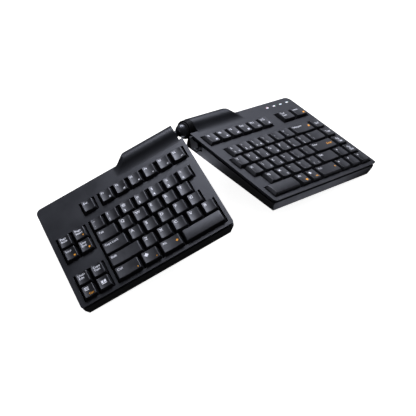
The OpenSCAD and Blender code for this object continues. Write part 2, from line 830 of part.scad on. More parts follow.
// Solid of a keycap drawn in from its skirt, set in by its wall
module cap_block(w, d, inset) {
    top = cap_top - inset;
    lean_side = cap_draw_side / cap_h;
    lean_front = cap_draw_front / cap_h;
    lean_back = cap_draw_back / cap_h;
    drop = inset > 0 ? 1 : 0;
    h = top - skirt_level + drop;
    low = skirt_level - drop;
    a = w / 2 - inset + lean_side * drop;
    f = d / 2 - inset + lean_front * drop;
    b = d / 2 - inset + lean_back * drop;
    intersection() {
        translate([0, d, 0]) rotate([90, 0, 0]) linear_extrude(2 * d) polygon([
            [-a, low], [a, low], [a - lean_side * h, top], [-a + lean_side * h, top]
        ]);
        translate([-w, 0, 0]) rotate([90, 0, 90]) linear_extrude(2 * w) polygon([
            [-f, low], [b, low], [b - lean_back * h, top], [-f + lean_front * h, top]
        ]);
    }
}

// Radius of an arc with a given half span and rise
function arc_r(span, rise) = (span * span + rise * rise) / (2 * rise);

// Outer form of a keycap: wide keys are crowned, the others are dished for a finger
module cap_outer(width, w, d) {
    if (width >= crown_from) {
        crown = arc_r(d / 2 - cap_draw_front, dish_depth);
        intersection() {
            cap_block(w, d, 0);
            translate([-w, (cap_draw_front - cap_draw_back) / 2, cap_top - crown]) rotate([0, 90, 0])
                cylinder(r = crown, h = 2 * w, $fn = 360);
        }
    } else {
        dish = max(dish_r, arc_r(w / 2 - cap_draw_side, dish_depth));
        difference() {
            cap_block(w, d, 0);
            translate([0, d, cap_top - dish_depth + dish]) rotate([90, 0, 0])
                cylinder(r = dish, h = 2 * d, $fn = 720);
        }
    }
}

// Keycap of a given width in key pitches, hollow and with its plunger
module keycap(width) {
    w = width * key_pitch - cap_gap;
    d = key_pitch - cap_gap;
    difference() {
        cap_outer(width, w, d);
        cap_block(w, d, cap_wall + dish_depth / 2);
    }
    translate([-plunger_w / 2, -plunger_w / 2, plunger_end])
        cube([plunger_w, plunger_w, cap_top - dish_depth - cap_wall / 2 - plunger_end]);
}

// Set of keys of one half
module key_set(side, keys) {
    color(cap_colour) on_deck(side) for (k = keys) {
        translate(key_centre(side, k)) keycap(k[2]);
    }
}

// Rounded slot shape of an indicator lens
module lens_plan(grow) {
    r = lens_w / 2 + grow;
    square([lens_len - lens_w, 2 * r], center = true);
    for (s = [-1, 1]) {
        translate([s * (lens_len - lens_w) / 2, 0]) circle(r);
    }
}

// One copy of the children at each indicator
module at_lenses() {
    for (i = [0:3]) {
        translate([lens_u + lens_pitch * i, lens_y, 0]) children();
    }
}

// Moves to the cable gland in the back wall, with z to the back
module at_gland() {
    translate([gland_u, back_y - rim_inset - wall / 2 - back_slope * (gland_drop - rim_drop), -gland_drop])
        rotate([-90, 0, 0]) children();
}

module left_top_case() { color(case_colour) top_case(LEFT); }
module right_top_case() { color(case_colour) top_case(RIGHT); }
module left_bottom_case() { color(base_colour) bottom_case(LEFT); }
module right_bottom_case() { color(base_colour) bottom_case(RIGHT); }
module left_key_plate() { color(base_colour) key_plate(LEFT); }
module right_key_plate() { color(base_colour) key_plate(RIGHT); }
module left_dome_sheet() { color(rubber_colour) dome_sheet(LEFT); }
module right_dome_sheet() { color(rubber_colour) dome_sheet(RIGHT); }
module left_membrane() { color(sheet_colour) stack_layer(LEFT, membrane_bottom, sheet_bottom); }
module right_membrane() { color(sheet_colour) stack_layer(RIGHT, membrane_bottom, sheet_bottom); }
module left_backing_plate() { color(steel_colour) stack_layer(LEFT, backing_bottom, membrane_bottom); }
module right_backing_plate() { color(steel_colour) stack_layer(RIGHT, backing_bottom, membrane_bottom); }
module left_case_screws() { color(steel_colour) case_screws(LEFT); }
module right_case_screws() { color(steel_colour) case_screws(RIGHT); }
module left_feet() { color(rubber_colour) feet(LEFT); }
module right_feet() { color(rubber_colour) feet(RIGHT); }

module escape_key() { key_set(LEFT, escape_set); }
module left_function_keys() { key_set(LEFT, left_function_set); }
module left_number_keys() { key_set(LEFT, left_number_set); }
module tab_key() { key_set(LEFT, tab_set); }
module left_upper_letter_keys() { key_set(LEFT, left_upper_set); }
module caps_lock_key() { key_set(LEFT, caps_set); }
module left_home_letter_keys() { key_set(LEFT, left_home_set); }
module left_shift_key() { key_set(LEFT, left_shift_set); }
module left_lower_letter_keys() { key_set(LEFT, left_lower_set); }
module left_control_key() { key_set(LEFT, left_control_set); }
module left_system_key() { key_set(LEFT, left_system_set); }
module left_alt_key() { key_set(LEFT, left_alt_set); }
module left_space_key() { key_set(LEFT, left_space_set); }
module upper_edit_keys() { key_set(LEFT, upper_edit_set); }
module lower_edit_keys() { key_set(LEFT, lower_edit_set); }
module right_function_keys() { key_set(RIGHT, right_function_set); }
module screen_keys() { key_set(RIGHT, screen_set); }
module right_number_keys() { key_set(RIGHT, right_number_set); }
module backspace_key() { key_set(RIGHT, backspace_set); }
module right_upper_letter_keys() { key_set(RIGHT, right_upper_set); }
module backslash_key() { key_set(RIGHT, backslash_set); }
module right_home_letter_keys() { key_set(RIGHT, right_home_set); }
module enter_key() { key_set(RIGHT, enter_set); }
module right_lower_letter_keys() { key_set(RIGHT, right_lower_set); }
module right_shift_key() { key_set(RIGHT, right_shift_set); }
module right_space_key() { key_set(RIGHT, right_space_set); }
module right_alt_key() { key_set(RIGHT, right_alt_set); }
module right_system_key() { key_set(RIGHT, right_system_set); }
module right_control_key() { key_set(RIGHT, right_control_set); }
module arrow_keys() { key_set(RIGHT, arrow_set); }
module navigation_keys() { key_set(RIGHT, navigation_set); }

// Ball on a shank that turns in the left barrel's bush
module ball_stud() {
    color(joint_colour) on_deck(LEFT) at_ball() {
        sphere(ball_r);
        cylinder(r = stud_r, h = stud_depth);
    }
}

// Nut that keeps the stud in its bush
module stud_nut() {
    color(steel_colour) on_deck(LEFT) at_ball() translate([0, 0, nut_start]) difference() {
        cylinder(r = barrel_bore_r - 1.2, h = nut_t, $fn = 6);
        translate([0, 0, -1]) cylinder(r = stud_r + fit / 2, h = nut_t + 2);
    }
}

// Bush that carries the stud in the left barrel
module stud_bush() {
    color(steel_colour) on_deck(LEFT) at_ball() translate([0, 0, bush_start]) difference() {
        cylinder(r = barrel_bore_r - fit, h = bush_len);
        translate([0, 0, -1]) cylinder(r = stud_r + fit, h = bush_len + 2);
    }
}

// Half cup of nylon between the ball and the collar
module socket_liner() {
    color(sheet_colour) on_deck(RIGHT) at_ball() difference() {
        intersection() {
            sphere(liner_out);
            translate([-big / 2, -big / 2, liner_mouth]) cube(big);
        }
        sphere(liner_in);
    }
}

// Ribbed collar that holds the ball, set into the right barrel
module ribbed_collar() {
    color(joint_colour) on_deck(RIGHT) difference() {
        at_ball() union() {
            difference() {
                translate([0, 0, collar_mouth]) cylinder(r = collar_r, h = collar_len);
                for (i = [0:ridge_count - 1]) {
                    translate([0, 0, collar_mouth + groove_w * (2 * i + 1)]) difference() {
                        cylinder(r = collar_r + 1, h = groove_w);
                        translate([0, 0, -1]) cylinder(r = collar_r - ridge_depth, h = groove_w + 2);
                    }
                }
            }
            translate([0, 0, collar_mouth + 1]) cylinder(r = shank_r, h = collar_depth - collar_mouth - 1);
        }
        at_ball() sphere(socket_r);
        at_ball() translate([0, 0, socket_r + 3]) cylinder(r = stud_r, h = collar_depth);
        at_shoe() cylinder(r = shoe_r + fit, h = ball_r * 2);
    }
}

// Moves to the shoe's pad, with z to the back, in line with the ball's centre
module at_shoe() {
    translate([lever_u, shoe_start, -ball_drop]) rotate([-90, 0, 0]) children();
}

// Shoe that the lever's screw pushes against the liner
module clamp_shoe() {
    color(steel_colour) on_deck(RIGHT) difference() {
        union() {
            translate([lever_u, lever_back - lead_lap, -lever_drop]) rotate([-90, 0, 0])
                cylinder(r = lead_r, h = shoe_end - lever_back + lead_lap);
            translate([lever_u, shoe_start, -lever_drop]) rotate([-90, 0, 0])
                cylinder(r = shoe_r, h = shoe_end - shoe_start);
            translate([lever_u - shoe_r, shoe_start, -lever_drop])
                cube([2 * shoe_r, shoe_end - shoe_start, lever_drop - ball_drop]);
            at_shoe() cylinder(r = shoe_r, h = ball_y - shoe_start);
        }
        at_ball() sphere(liner_out + ball_play / 2);
        translate([0, ball_y - ball_r / 2, -big / 2]) cube(big);
    }
}

// Lever with its shaft, the nut end that drives the shoe and its finger tab
module lock_lever() {
    color(joint_colour) on_deck(RIGHT) {
        translate([lever_u, lever_back, -lever_drop]) rotate([90, 0, 0]) difference() {
            union() {
                cylinder(r = lever_shaft_r, h = lever_back - lever_front);
                cylinder(r = nut_end_r, h = nut_end_len);
            }
            translate([0, 0, -1]) cylinder(r = lead_r + fit, h = lead_lap + shoe_travel + shoe_play + 1);
        }
        translate([lever_u, tab_y, -lever_drop]) rotate([0, -tab_lean, 0]) {
            translate([-tab_len, -tab_w / 2, -tab_t / 2]) cube([tab_len, tab_w, tab_t]);
            translate([-tab_len + tab_t / 2, tab_w / 2, tab_t / 4]) rotate([90, 0, 0])
                cylinder(r = tab_t * 0.6, h = tab_w);
        }
    }
}

// Block in which the lever's shaft turns
module lever_bearing() {
    side_play = 0.1;
    color(sheet_colour) on_deck(RIGHT) difference() {
        intersection() {
            tub(RIGHT, wall + side_play, floor_t, -1);
            translate([right_in, bearing_start, -big / 10])
                cube([lever_u - right_in + 6, bearing_end - bearing_start, big / 10 - lever_drop + 3.4]);
        }
        translate([lever_u, bearing_end + 1, -lever_drop]) rotate([90, 0, 0])
            cylinder(r = lever_shaft_r + fit, h = bearing_end - bearing_start + 2);
    }
}

// Circuit board behind the function row, with its chips underneath
module control_board() {
    chip_w = 6;
    chip_h = 1.2;
    color(board_colour) on_deck(RIGHT) {
        translate([board_u, board_y, board_top - board_t]) cube([board_w, board_d, board_t]);
        for (part = [0.2, 0.45, 0.7]) {
            translate([board_u + board_w * part, board_y + 1, board_top - board_t - chip_h])
                cube([chip_w, chip_w, chip_h + eps]);
        }
    }
}

// Lamp under each indicator lens
module indicator_lights() {
    color(lens_colour) on_deck(RIGHT) at_lenses()
        slab(board_top, -deck_t - lens_lip - 0.3) circle(light_r);
}

// Clear lens of each indicator, pushed up through the deck to its lip
module indicator_lenses() {
    color(lens_colour) on_deck(RIGHT) at_lenses() {
        slab(-deck_t, lens_proud) lens_plan(0);
        slab(-deck_t - lens_lip, -deck_t) lens_plan(lens_lip);
    }
}

// Rubber gland for the cable in the right half's back wall
module cable_gland() {
    flange = 1.2;
    color(rubber_colour) on_deck(RIGHT) at_gland() difference() {
        union() {
            cylinder(r = gland_r, h = 2 * wall + 2, center = true);
            translate([0, 0, wall + 0.2]) cylinder(r = gland_r + 1, h = flange);
        }
        cylinder(r = gland_bore_r, h = 8 * wall, center = true);
    }
}

left_top_case();
left_bottom_case();
left_key_plate();
left_dome_sheet();
left_membrane();
left_backing_plate();
left_case_screws();
left_feet();
right_top_case();
right_bottom_case();
right_key_plate();
right_dome_sheet();
right_membrane();
right_backing_plate();
right_case_screws();
right_feet();
escape_key();
left_function_keys();
left_number_keys();
tab_key();
left_upper_letter_keys();
caps_lock_key();
left_home_letter_keys();
left_shift_key();
left_lower_letter_keys();
left_control_key();
left_system_key();
left_alt_key();
left_space_key();
upper_edit_keys();
lower_edit_keys();
right_function_keys();
screen_keys();
right_number_keys();
backspace_key();
right_upper_letter_keys();
backslash_key();
right_home_letter_keys();
enter_key();
right_lower_letter_keys();
right_shift_key();
right_space_key();
right_alt_key();
right_system_key();
right_control_key();
arrow_keys();
navigation_keys();
ball_stud();
stud_nut();
stud_bush();
socket_liner();
ribbed_collar();
clamp_shoe();
lock_lever();
lever_bearing();
control_board();
indicator_lights();
indicator_lenses();
cable_gland();
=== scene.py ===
"""Looks of a split keyboard: printed keycaps, dressed shells, the ball joint and a white studio."""

import json
import logging
import math
from dataclasses import dataclass, field
from enum import Enum
from typing import ClassVar

import bpy
from mathutils import Matrix, Vector


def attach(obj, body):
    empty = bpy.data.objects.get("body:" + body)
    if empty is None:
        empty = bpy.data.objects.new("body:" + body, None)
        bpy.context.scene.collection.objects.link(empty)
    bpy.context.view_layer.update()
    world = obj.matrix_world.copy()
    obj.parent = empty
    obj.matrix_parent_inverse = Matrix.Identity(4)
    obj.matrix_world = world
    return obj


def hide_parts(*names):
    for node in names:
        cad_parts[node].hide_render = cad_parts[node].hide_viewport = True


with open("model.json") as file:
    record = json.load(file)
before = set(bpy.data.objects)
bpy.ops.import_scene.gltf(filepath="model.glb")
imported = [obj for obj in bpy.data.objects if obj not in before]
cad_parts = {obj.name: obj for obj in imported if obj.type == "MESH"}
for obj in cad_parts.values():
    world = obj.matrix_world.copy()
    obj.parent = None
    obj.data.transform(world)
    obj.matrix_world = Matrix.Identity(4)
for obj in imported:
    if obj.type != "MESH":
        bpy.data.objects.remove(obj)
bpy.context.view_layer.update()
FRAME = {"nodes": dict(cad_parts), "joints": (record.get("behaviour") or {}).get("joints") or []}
LOG = logging.getLogger("keyboard")
MM = 0.001

Point2 = tuple[float, float]
Point3 = tuple[float, float, float]
Face = tuple[int, ...]
Drawing = tuple[list[Point2], list[Face]]


class Side(Enum):
    """The two halves of the keyboard."""

    LEFT = "left"
    RIGHT = "right"


class Row(Enum):
    """Rows of keys, by the place of their middle in key pitches behind the number row's back edge."""

    FUNCTION = 1.06
    NUMBER = -0.5
    UPPER = -1.5
    HOME = -2.5
    LOWER = -3.5
    SPACE = -4.5


class Ink(Enum):
    """Colours of the printed legends, as places in a legend mesh's list of materials."""

    WHITE = 0
    ORANGE = 1


class Spot(Enum):
    """Places of a legend on a key top, as shares of the room left over across and up the top."""

    BACK_LEFT = (0.0, 1.0)
    MIDDLE = (0.5, 0.5)
    RIGHT = (1.0, 0.5)
    FRONT_LEFT = (0.0, 0.0)
    FRONT_RIGHT = (1.0, 0.0)


class Icon(Enum):
    """Plain printed shapes, as polygons in a box one unit high."""

    DIAMOND = (((0.5, 0.0), (1.0, 0.5), (0.5, 1.0), (0.0, 0.5)),)
    UP = (((0.0, 0.4), (0.35, 0.4), (0.35, 0.0), (0.65, 0.0), (0.65, 0.4), (1.0, 0.4), (0.5, 1.0)),)
    DOWN = (((0.0, 0.6), (0.5, 0.0), (1.0, 0.6), (0.65, 0.6), (0.65, 1.0), (0.35, 1.0), (0.35, 0.6)),)
    BACK = (((0.0, 0.5), (0.6, 0.0), (0.6, 0.35), (1.2, 0.35), (1.2, 0.65), (0.6, 0.65), (0.6, 1.0)),)
    AHEAD = (((0.0, 0.35), (0.6, 0.35), (0.6, 0.0), (1.2, 0.5), (0.6, 1.0), (0.6, 0.65), (0.0, 0.65)),)
    PLAY = (((0.0, 0.0), (0.9, 0.5), (0.0, 1.0)),)
    STOP = (((0.0, 0.0), (0.9, 0.0), (0.9, 0.9), (0.0, 0.9)),)
    PAUSE = (
        ((0.0, 0.0), (0.3, 0.0), (0.3, 1.0), (0.0, 1.0)),
        ((0.6, 0.0), (0.9, 0.0), (0.9, 1.0), (0.6, 1.0)),
    )
    SKIP = (((0.0, 0.0), (0.7, 0.5), (0.0, 1.0)), ((0.75, 0.0), (1.0, 0.0), (1.0, 1.0), (0.75, 1.0)))
    PANEL = (
        ((0.0, 0.0), (1.2, 0.0), (1.2, 0.2), (0.0, 0.2)),
        ((0.0, 0.35), (0.5, 0.35), (0.5, 1.0), (0.0, 1.0)),
        ((0.65, 0.35), (1.2, 0.35), (1.2, 1.0), (0.65, 1.0)),
    )
    LIST = (
        ((0.0, 0.0), (1.2, 0.0), (1.2, 0.18), (0.0, 0.18)),
        ((0.0, 0.4), (1.2, 0.4), (1.2, 0.58), (0.0, 0.58)),
        ((0.0, 0.8), (1.2, 0.8), (1.2, 0.98), (0.0, 0.98)),
    )


def linear(hex_colour: str) -> tuple[float, float, float, float]:
    """Turns an sRGB hex colour to linear light.

    Args:
        hex_colour: six hex digits.

    Returns:
        Red, green, blue and an alpha of 1.
    """
    values = [int(hex_colour[i:i + 2], 16) / 255 for i in (0, 2, 4)]
    light = [v / 12.92 if v <= 0.04045 else ((v + 0.055) / 1.055) ** 2.4 for v in values]
    return (light[0], light[1], light[2], 1.0)


def add_node(
    tree: bpy.types.NodeTree, kind: str, settings: dict, links: dict | None = None
) -> bpy.types.Node:
    """Adds one shader node with its settings and links.

    Args:
        tree: the node tree of a material or world.
        kind: the node's Blender type.
        settings: values by socket identifier or by node property.
        links: output sockets by the identifier of the input that they feed.

    Returns:
        The new node.
    """
    node = tree.nodes.new(kind)
    sockets = {socket.identifier: socket for socket in node.inputs}
    for name, value in settings.items():
        if name in sockets:
            sockets[name].default_value = value
        else:
            setattr(node, name, value)
    for name, source in (links or {}).items():
        tree.links.new(source, sockets[name])
    return node


class Pattern(Enum):
    """How a surface was made, which sets the pattern that shows on it."""

    MOULDED = "moulded"
    TURNED = "turned"
    PLATED = "plated"
    PRINTED = "printed"


@dataclass(frozen=True)
class Finish:
    """One real material with the surface it was given.

    Fields: the material's name, its colour and the colour it drifts to, the size of that drift and of
    its grain in millimetres, the grain's depth, the least and greatest roughness, the pattern, and the
    optical values of its shader. For all finishes: the part of the drift that the roughness follows, and
    how far light passes into a milky material, in millimetres.
    """

    drift_range: ClassVar[Point2] = (0.3, 0.7)
    milky_mm: ClassVar[float] = 2.0

    name: str
    colour: str
    drift: str
    drift_mm: float
    grain_mm: float
    grain_depth_mm: float
    roughness: Point2
    pattern: Pattern = Pattern.MOULDED
    ior: float = 1.5
    metallic: float = 0.0
    coat: float = 0.0
    subsurface: float = 0.0
    specular: float = 0.5
    glow: float = 0.0

    def grain(self, tree: bpy.types.NodeTree, place: bpy.types.NodeSocket) -> bpy.types.NodeSocket:
        """Draws the grain of the surface.

        Args:
            tree: the material's node tree.
            place: the coordinates to draw it in.

        Returns:
            The height of the grain, from 0 to 1.
        """
        scale = 1.0 / (self.grain_mm * MM)
        bands = scale / (2 * math.pi)
        kind, output, settings = {
            Pattern.MOULDED: ("ShaderNodeTexNoise", "Fac", {"Scale": scale, "Detail": 3.0}),
            Pattern.PLATED: ("ShaderNodeTexVoronoi", "Color", {"Scale": scale}),
            Pattern.PRINTED: ("ShaderNodeTexWave", "Fac", {"Scale": bands, "Distortion": 6.0, "Detail": 1.0}),
            Pattern.TURNED: (
                "ShaderNodeTexWave",
                "Fac",
                {"wave_type": "RINGS", "rings_direction": "X", "Scale": bands, "Distortion": 0.4},
            ),
        }[self.pattern]
        return add_node(tree, kind, settings, {"Vector": place}).outputs[output]

    def material(self) -> bpy.types.Material:
        """Builds the procedural material, or gives the one already built.

        Returns:
            The material.
        """
        made = bpy.data.materials.get(self.name)
        if made:
            return made
        made = bpy.data.materials.new(self.name)
        made.use_nodes = True
        tree = made.node_tree
        tree.nodes.clear()
        place = add_node(tree, "ShaderNodeTexCoord", {}).outputs["Object"]
        cloud = add_node(
            tree,
            "ShaderNodeTexNoise",
            {"Scale": 1.0 / (self.drift_mm * MM), "Detail": 4.0},
            {"Vector": place},
        )
        height = self.grain(tree, place)
        patterned = self.pattern in (Pattern.PLATED, Pattern.PRINTED)
        share = height if patterned else cloud.outputs["Fac"]
        colour = add_node(
            tree,
            "ShaderNodeMix",
            {"data_type": "RGBA", "A_Color": linear(self.colour), "B_Color": linear(self.drift)},
            {"Factor_Float": share},
        )
        least, most = self.drift_range
        low, high = self.roughness
        rough = add_node(
            tree,
            "ShaderNodeMapRange",
            {"From Min": least, "From Max": most, "To Min": low, "To Max": high},
            {"Value": cloud.outputs["Fac"]},
        )
        bump = add_node(
            tree,
            "ShaderNodeBump",
            {"Strength": 1.0, "Distance": self.grain_depth_mm * MM},
            {"Height": height},
        )
        shader = add_node(
            tree,
            "ShaderNodeBsdfPrincipled",
            {
                "Metallic": self.metallic,
                "IOR": self.ior,
                "Coat Weight": self.coat,
                "Subsurface Weight": self.subsurface,
                "Subsurface Scale": self.milky_mm * MM,
                "Specular IOR Level": self.specular,
                "Emission Color": linear(self.colour),
                "Emission Strength": self.glow,
            },
            {
                "Base Color": next(s for s in colour.outputs if s.identifier == "Result_Color"),
                "Roughness": rough.outputs["Result"],
                "Normal": bump.outputs["Normal"],
            },
        )
        add_node(tree, "ShaderNodeOutputMaterial", {}, {"Surface": shader.outputs["BSDF"]})
        return made


# ABS moulded in a spark-eroded tool: charcoal, with a soft satin gleam and a faint cloudiness.
# The real grain of this and the other mouldings is about 0.1 mm. It is drawn at about 1 mm, as fine as the
# render can show.
CASE_ABS = Finish("ABS moulded satin charcoal", "0f1013", "141518", 30.0, 1.2, 0.045, (0.36, 0.46))
# ABS moulded in the same grain for the base: a little duller, as its tool is rougher.
BASE_ABS = Finish("ABS moulded matt charcoal", "101012", "161618", 24.0, 1.1, 0.010, (0.48, 0.58))
# ABS moulded keycaps: fine matt grain, polished a little by fingers, so their gleam varies.
KEY_ABS = Finish(
    "ABS moulded fine matt keycap", "0a0a0c", "0f0f12", 9.0, 1.0, 0.006, (0.38, 0.5), specular=0.55
)
# Pad-printed ink: a flat white film with a slight unevenness from the pad.
WHITE_INK = Finish("ink pad-printed white", "e8e8ea", "d6d7da", 2.0, 0.6, 0.002, (0.45, 0.6))
# Pad-printed ink in orange.
ORANGE_INK = Finish("ink pad-printed orange", "f5a623", "e89a18", 2.0, 0.6, 0.002, (0.45, 0.6))
# Polycarbonate moulded black: the frame under the keys, seen only as dark in the gaps.
PLATE_PC = Finish("polycarbonate moulded black", "050506", "09090a", 15.0, 0.9, 0.006, (0.4, 0.5), ior=1.585)
# Silicone rubber moulded in sheet: milky, with light passing a little way in.
DOME_SILICONE = Finish(
    "silicone moulded milky", "c9ccd0", "bcc0c6", 12.0, 1.2, 0.008, (0.4, 0.55), ior=1.41, subsurface=0.4
)
# Polyester film printed with silver tracks that show as pale bands on clear grey.
FILM_PET = Finish(
    "polyester film printed with tracks", "8d949b", "c6cacf", 10.0, 3.0, 0.004, (0.2, 0.3),
    Pattern.PRINTED, ior=1.57,
)
# Steel sheet galvanised: grey spangle, each crystal turned its own way.
PLATE_STEEL = Finish(
    "steel sheet galvanised", "9a9da1", "b9bcc0", 10.0, 7.0, 0.01, (0.3, 0.45), Pattern.PLATED, metallic=1.0
)
# Steel screws blackened by oxide: dark, with fine marks from the driver and the lathe.
SCREW_STEEL = Finish(
    "steel turned black oxide", "3a3b3e", "54565a", 2.0, 0.6, 0.008, (0.3, 0.42), Pattern.TURNED, metallic=1.0
)
# Rubber moulded for the feet and the cable's gland: black and dull, with a dusty bloom.
FOOT_RUBBER = Finish("rubber moulded black", "141416", "222225", 6.0, 0.7, 0.02, (0.65, 0.8), ior=1.52)
# Acetal turned and polished for the ball: near black with a broad, soft gleam.
BALL_ACETAL = Finish(
    "acetal polished black", "17181b", "1d1e22", 8.0, 0.6, 0.001, (0.36, 0.44), ior=1.48, coat=0.15
)
# Brass turned and blackened for the bush: dark, with a brown cast and fine rings.
BUSH_BRASS = Finish(
    "brass turned and blackened", "2b2723", "38332d", 4.0, 0.6, 0.006, (0.35, 0.45),
    Pattern.TURNED, metallic=1.0,
)
# Nylon moulded black for the socket's liner: smooth, and dull beside the ball.
LINER_NYLON = Finish("nylon moulded black liner", "0b0b0c", "111112", 6.0, 0.8, 0.004, (0.4, 0.5), ior=1.53)
# Nylon moulded black for the collar: dull, with only its ridges catching the light.
COLLAR_NYLON = Finish(
    "nylon moulded black", "070708", "0c0c0d", 8.0, 0.8, 0.006, (0.42, 0.52), ior=1.53, specular=0.25
)
# Acetal moulded black for the lever: smooth, a little glossier than the shells.
LEVER_ACETAL = Finish("acetal moulded black", "0d0d0f", "151517", 6.0, 0.7, 0.004, (0.3, 0.4), ior=1.48)
# Glass-epoxy board under green solder mask: glossy, with a woven cloudiness.
BOARD_EPOXY = Finish(
    "glass epoxy board masked green", "0f4a2a", "17603a", 5.0, 1.2, 0.006, (0.2, 0.3), ior=1.54
)
# Epoxy cast round the light chips: milky white.
LIGHT_EPOXY = Finish("epoxy cast milky", "eceae2", "ddd9cc", 2.0, 0.8, 0.002, (0.25, 0.35), ior=1.54)
# Polycarbonate moulded frosted for the lenses: white and bright, with a soft gleam.
LENS_PC = Finish(
    "polycarbonate moulded frosted", "f2f3f4", "e6e8ea", 2.0, 0.8, 0.003, (0.25, 0.35),
    ior=1.585, subsurface=0.3,
)
# Board painted matt white for the studio's floor: even and bright, with no gleam.
FLOOR_BOARD = Finish(
    "painted board matt white", "f4f4f4", "f1f1f2", 400.0, 2.0, 0.002, (0.85, 0.9),
    specular=0.0, glow=1.0,
)

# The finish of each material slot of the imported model.
SLOT_FINISHES: dict[str, Finish] = {
    "case_plastic": CASE_ABS,
    "base_plastic": BASE_ABS,
    "key_plastic": KEY_ABS,
    "plate_plastic": PLATE_PC,
    "dome_rubber": DOME_SILICONE,
    "membrane_film": FILM_PET,
    "plate_steel": PLATE_STEEL,
    "screw_steel": SCREW_STEEL,
    "foot_rubber": FOOT_RUBBER,
    "ball_black": BALL_ACETAL,
    "bush_brass": BUSH_BRASS,
    "liner_nylon": LINER_NYLON,
    "collar_black": COLLAR_NYLON,
    "lever_black": LEVER_ACETAL,
    "board_green": BOARD_EPOXY,
    "light_white": LIGHT_EPOXY,
    "lens_clear": LENS_PC,
}


def joint_named(name: str) -> dict:
    """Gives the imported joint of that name."""
    return next(joint for joint in FRAME["joints"] if joint["name"] == name)


@dataclass(frozen=True)
class Deck:
    """The plane that a half's keys stand on, with the ball's middle as its fixed point.

    Fields: the half, the ball's distance behind the number row and below the deck, the key pitch and
    the place of the half's first key edge along the deck's X, all in millimetres.
    """

    side: Side
    ball_y: float = 54.718
    ball_drop: float = 5.5
    pitch: float = 19.05
    left_start: float = -147.6125
    right_start: float = 13.825

    def axes(self) -> Matrix:
        """Works out the deck's axes from the joints that turn and slide about them.

        Returns:
            A 3 by 3 matrix with the deck's X, Y and normal as its columns.
        """
        press = "escape_key_press" if self.side is Side.LEFT else "enter_key_press"
        normal = -Vector(joint_named(press)["axis"]).normalized()
        if self.side is Side.LEFT:
            across = Vector(joint_named("ball_twist")["axis"]).normalized()
        else:
            across = Vector(joint_named("lever_turn")["axis"]).normalized().cross(normal)
        return Matrix((across, normal.cross(across), normal)).transposed()

    def to_world(self) -> Matrix:
        """Places the deck by the ball's middle.

        Returns:
            The matrix from millimetres on the deck to metres in the shared frame.
        """
        ball = Vector(joint_named("ball_twist")["pos_m"])
        base = Matrix.Translation(ball) @ self.axes().to_4x4() @ Matrix.Scale(MM, 4)
        return base @ Matrix.Translation((0.0, -self.ball_y, self.ball_drop))

    def key_x(self, pitches: float) -> float:
        """Gives a place along the deck's X, in millimetres, from one in key pitches."""
        start = self.left_start if self.side is Side.LEFT else self.right_start
        return start + pitches * self.pitch

    def key_y(self, row: Row) -> float:
        """Gives a row's middle along the deck's Y, in millimetres."""
        return row.value * self.pitch


@dataclass
class MeshDraft:
    """Vertices, faces and material places gathered for one piece."""

    points: list[Vector] = field(default_factory=list)
    faces: list[Face] = field(default_factory=list)
    inks: list[int] = field(default_factory=list)

    def add(self, points: list[Vector], faces: list[Face], ink: int = 0) -> None:
        """Adds points and faces.

        Args:
            points: places in the shared frame, in metres.
            faces: rings of places in that list.
            ink: the faces' place in the piece's list of materials.
        """
        start = len(self.points)
        self.points.extend(points)
        self.faces.extend(tuple(i + start for i in face) for face in faces)
        self.inks.extend([ink] * len(faces))

    def piece(self, name: str, finishes: list[Finish], smooth: bool = True) -> bpy.types.Object:
        """Makes the piece and links it to the scene.

        Args:
            name: the piece's name.
            finishes: its finishes, in the order of the faces' places.
            smooth: whether its faces are shaded as one flowing surface.

        Returns:
            The new object.
        """
        mesh = bpy.data.meshes.new(name)
        mesh.from_pydata([tuple(p) for p in self.points], [], self.faces)
        for finish in finishes:
            mesh.materials.append(finish.material())
        mesh.polygons.foreach_set("material_index", self.inks)
        mesh.polygons.foreach_set("use_smooth", [smooth] * len(self.faces))
        mesh.update()
        made = bpy.data.objects.new(name, mesh)
        bpy.context.scene.collection.objects.link(made)
        return made


def loft(rings: list[list[Point3]], first: Point3, last: Point3) -> tuple[list[Point3], list[Face]]:
    """Joins rings of equal count into a closed skin, with a point at each end.

    Args:
        rings: the rings, each running the same way round.
        first: the point that closes the first ring.
        last: the point that closes the last ring.

    Returns:
        The points and the faces.
    """
    count = len(rings[0])
    points = [p for ring in rings for p in ring] + [first, last]
    faces: list[Face] = []
    for k in range(len(rings) - 1):
        for i in range(count):
            j = (i + 1) % count
            faces.append((k * count + i, k * count + j, (k + 1) * count + j, (k + 1) * count + i))
    top = (len(rings) - 1) * count
    for i in range(count):
        j = (i + 1) % count
        faces.append((j, i, len(points) - 2))
        faces.append((top + i, top + j, len(points) - 1))
    return points, faces


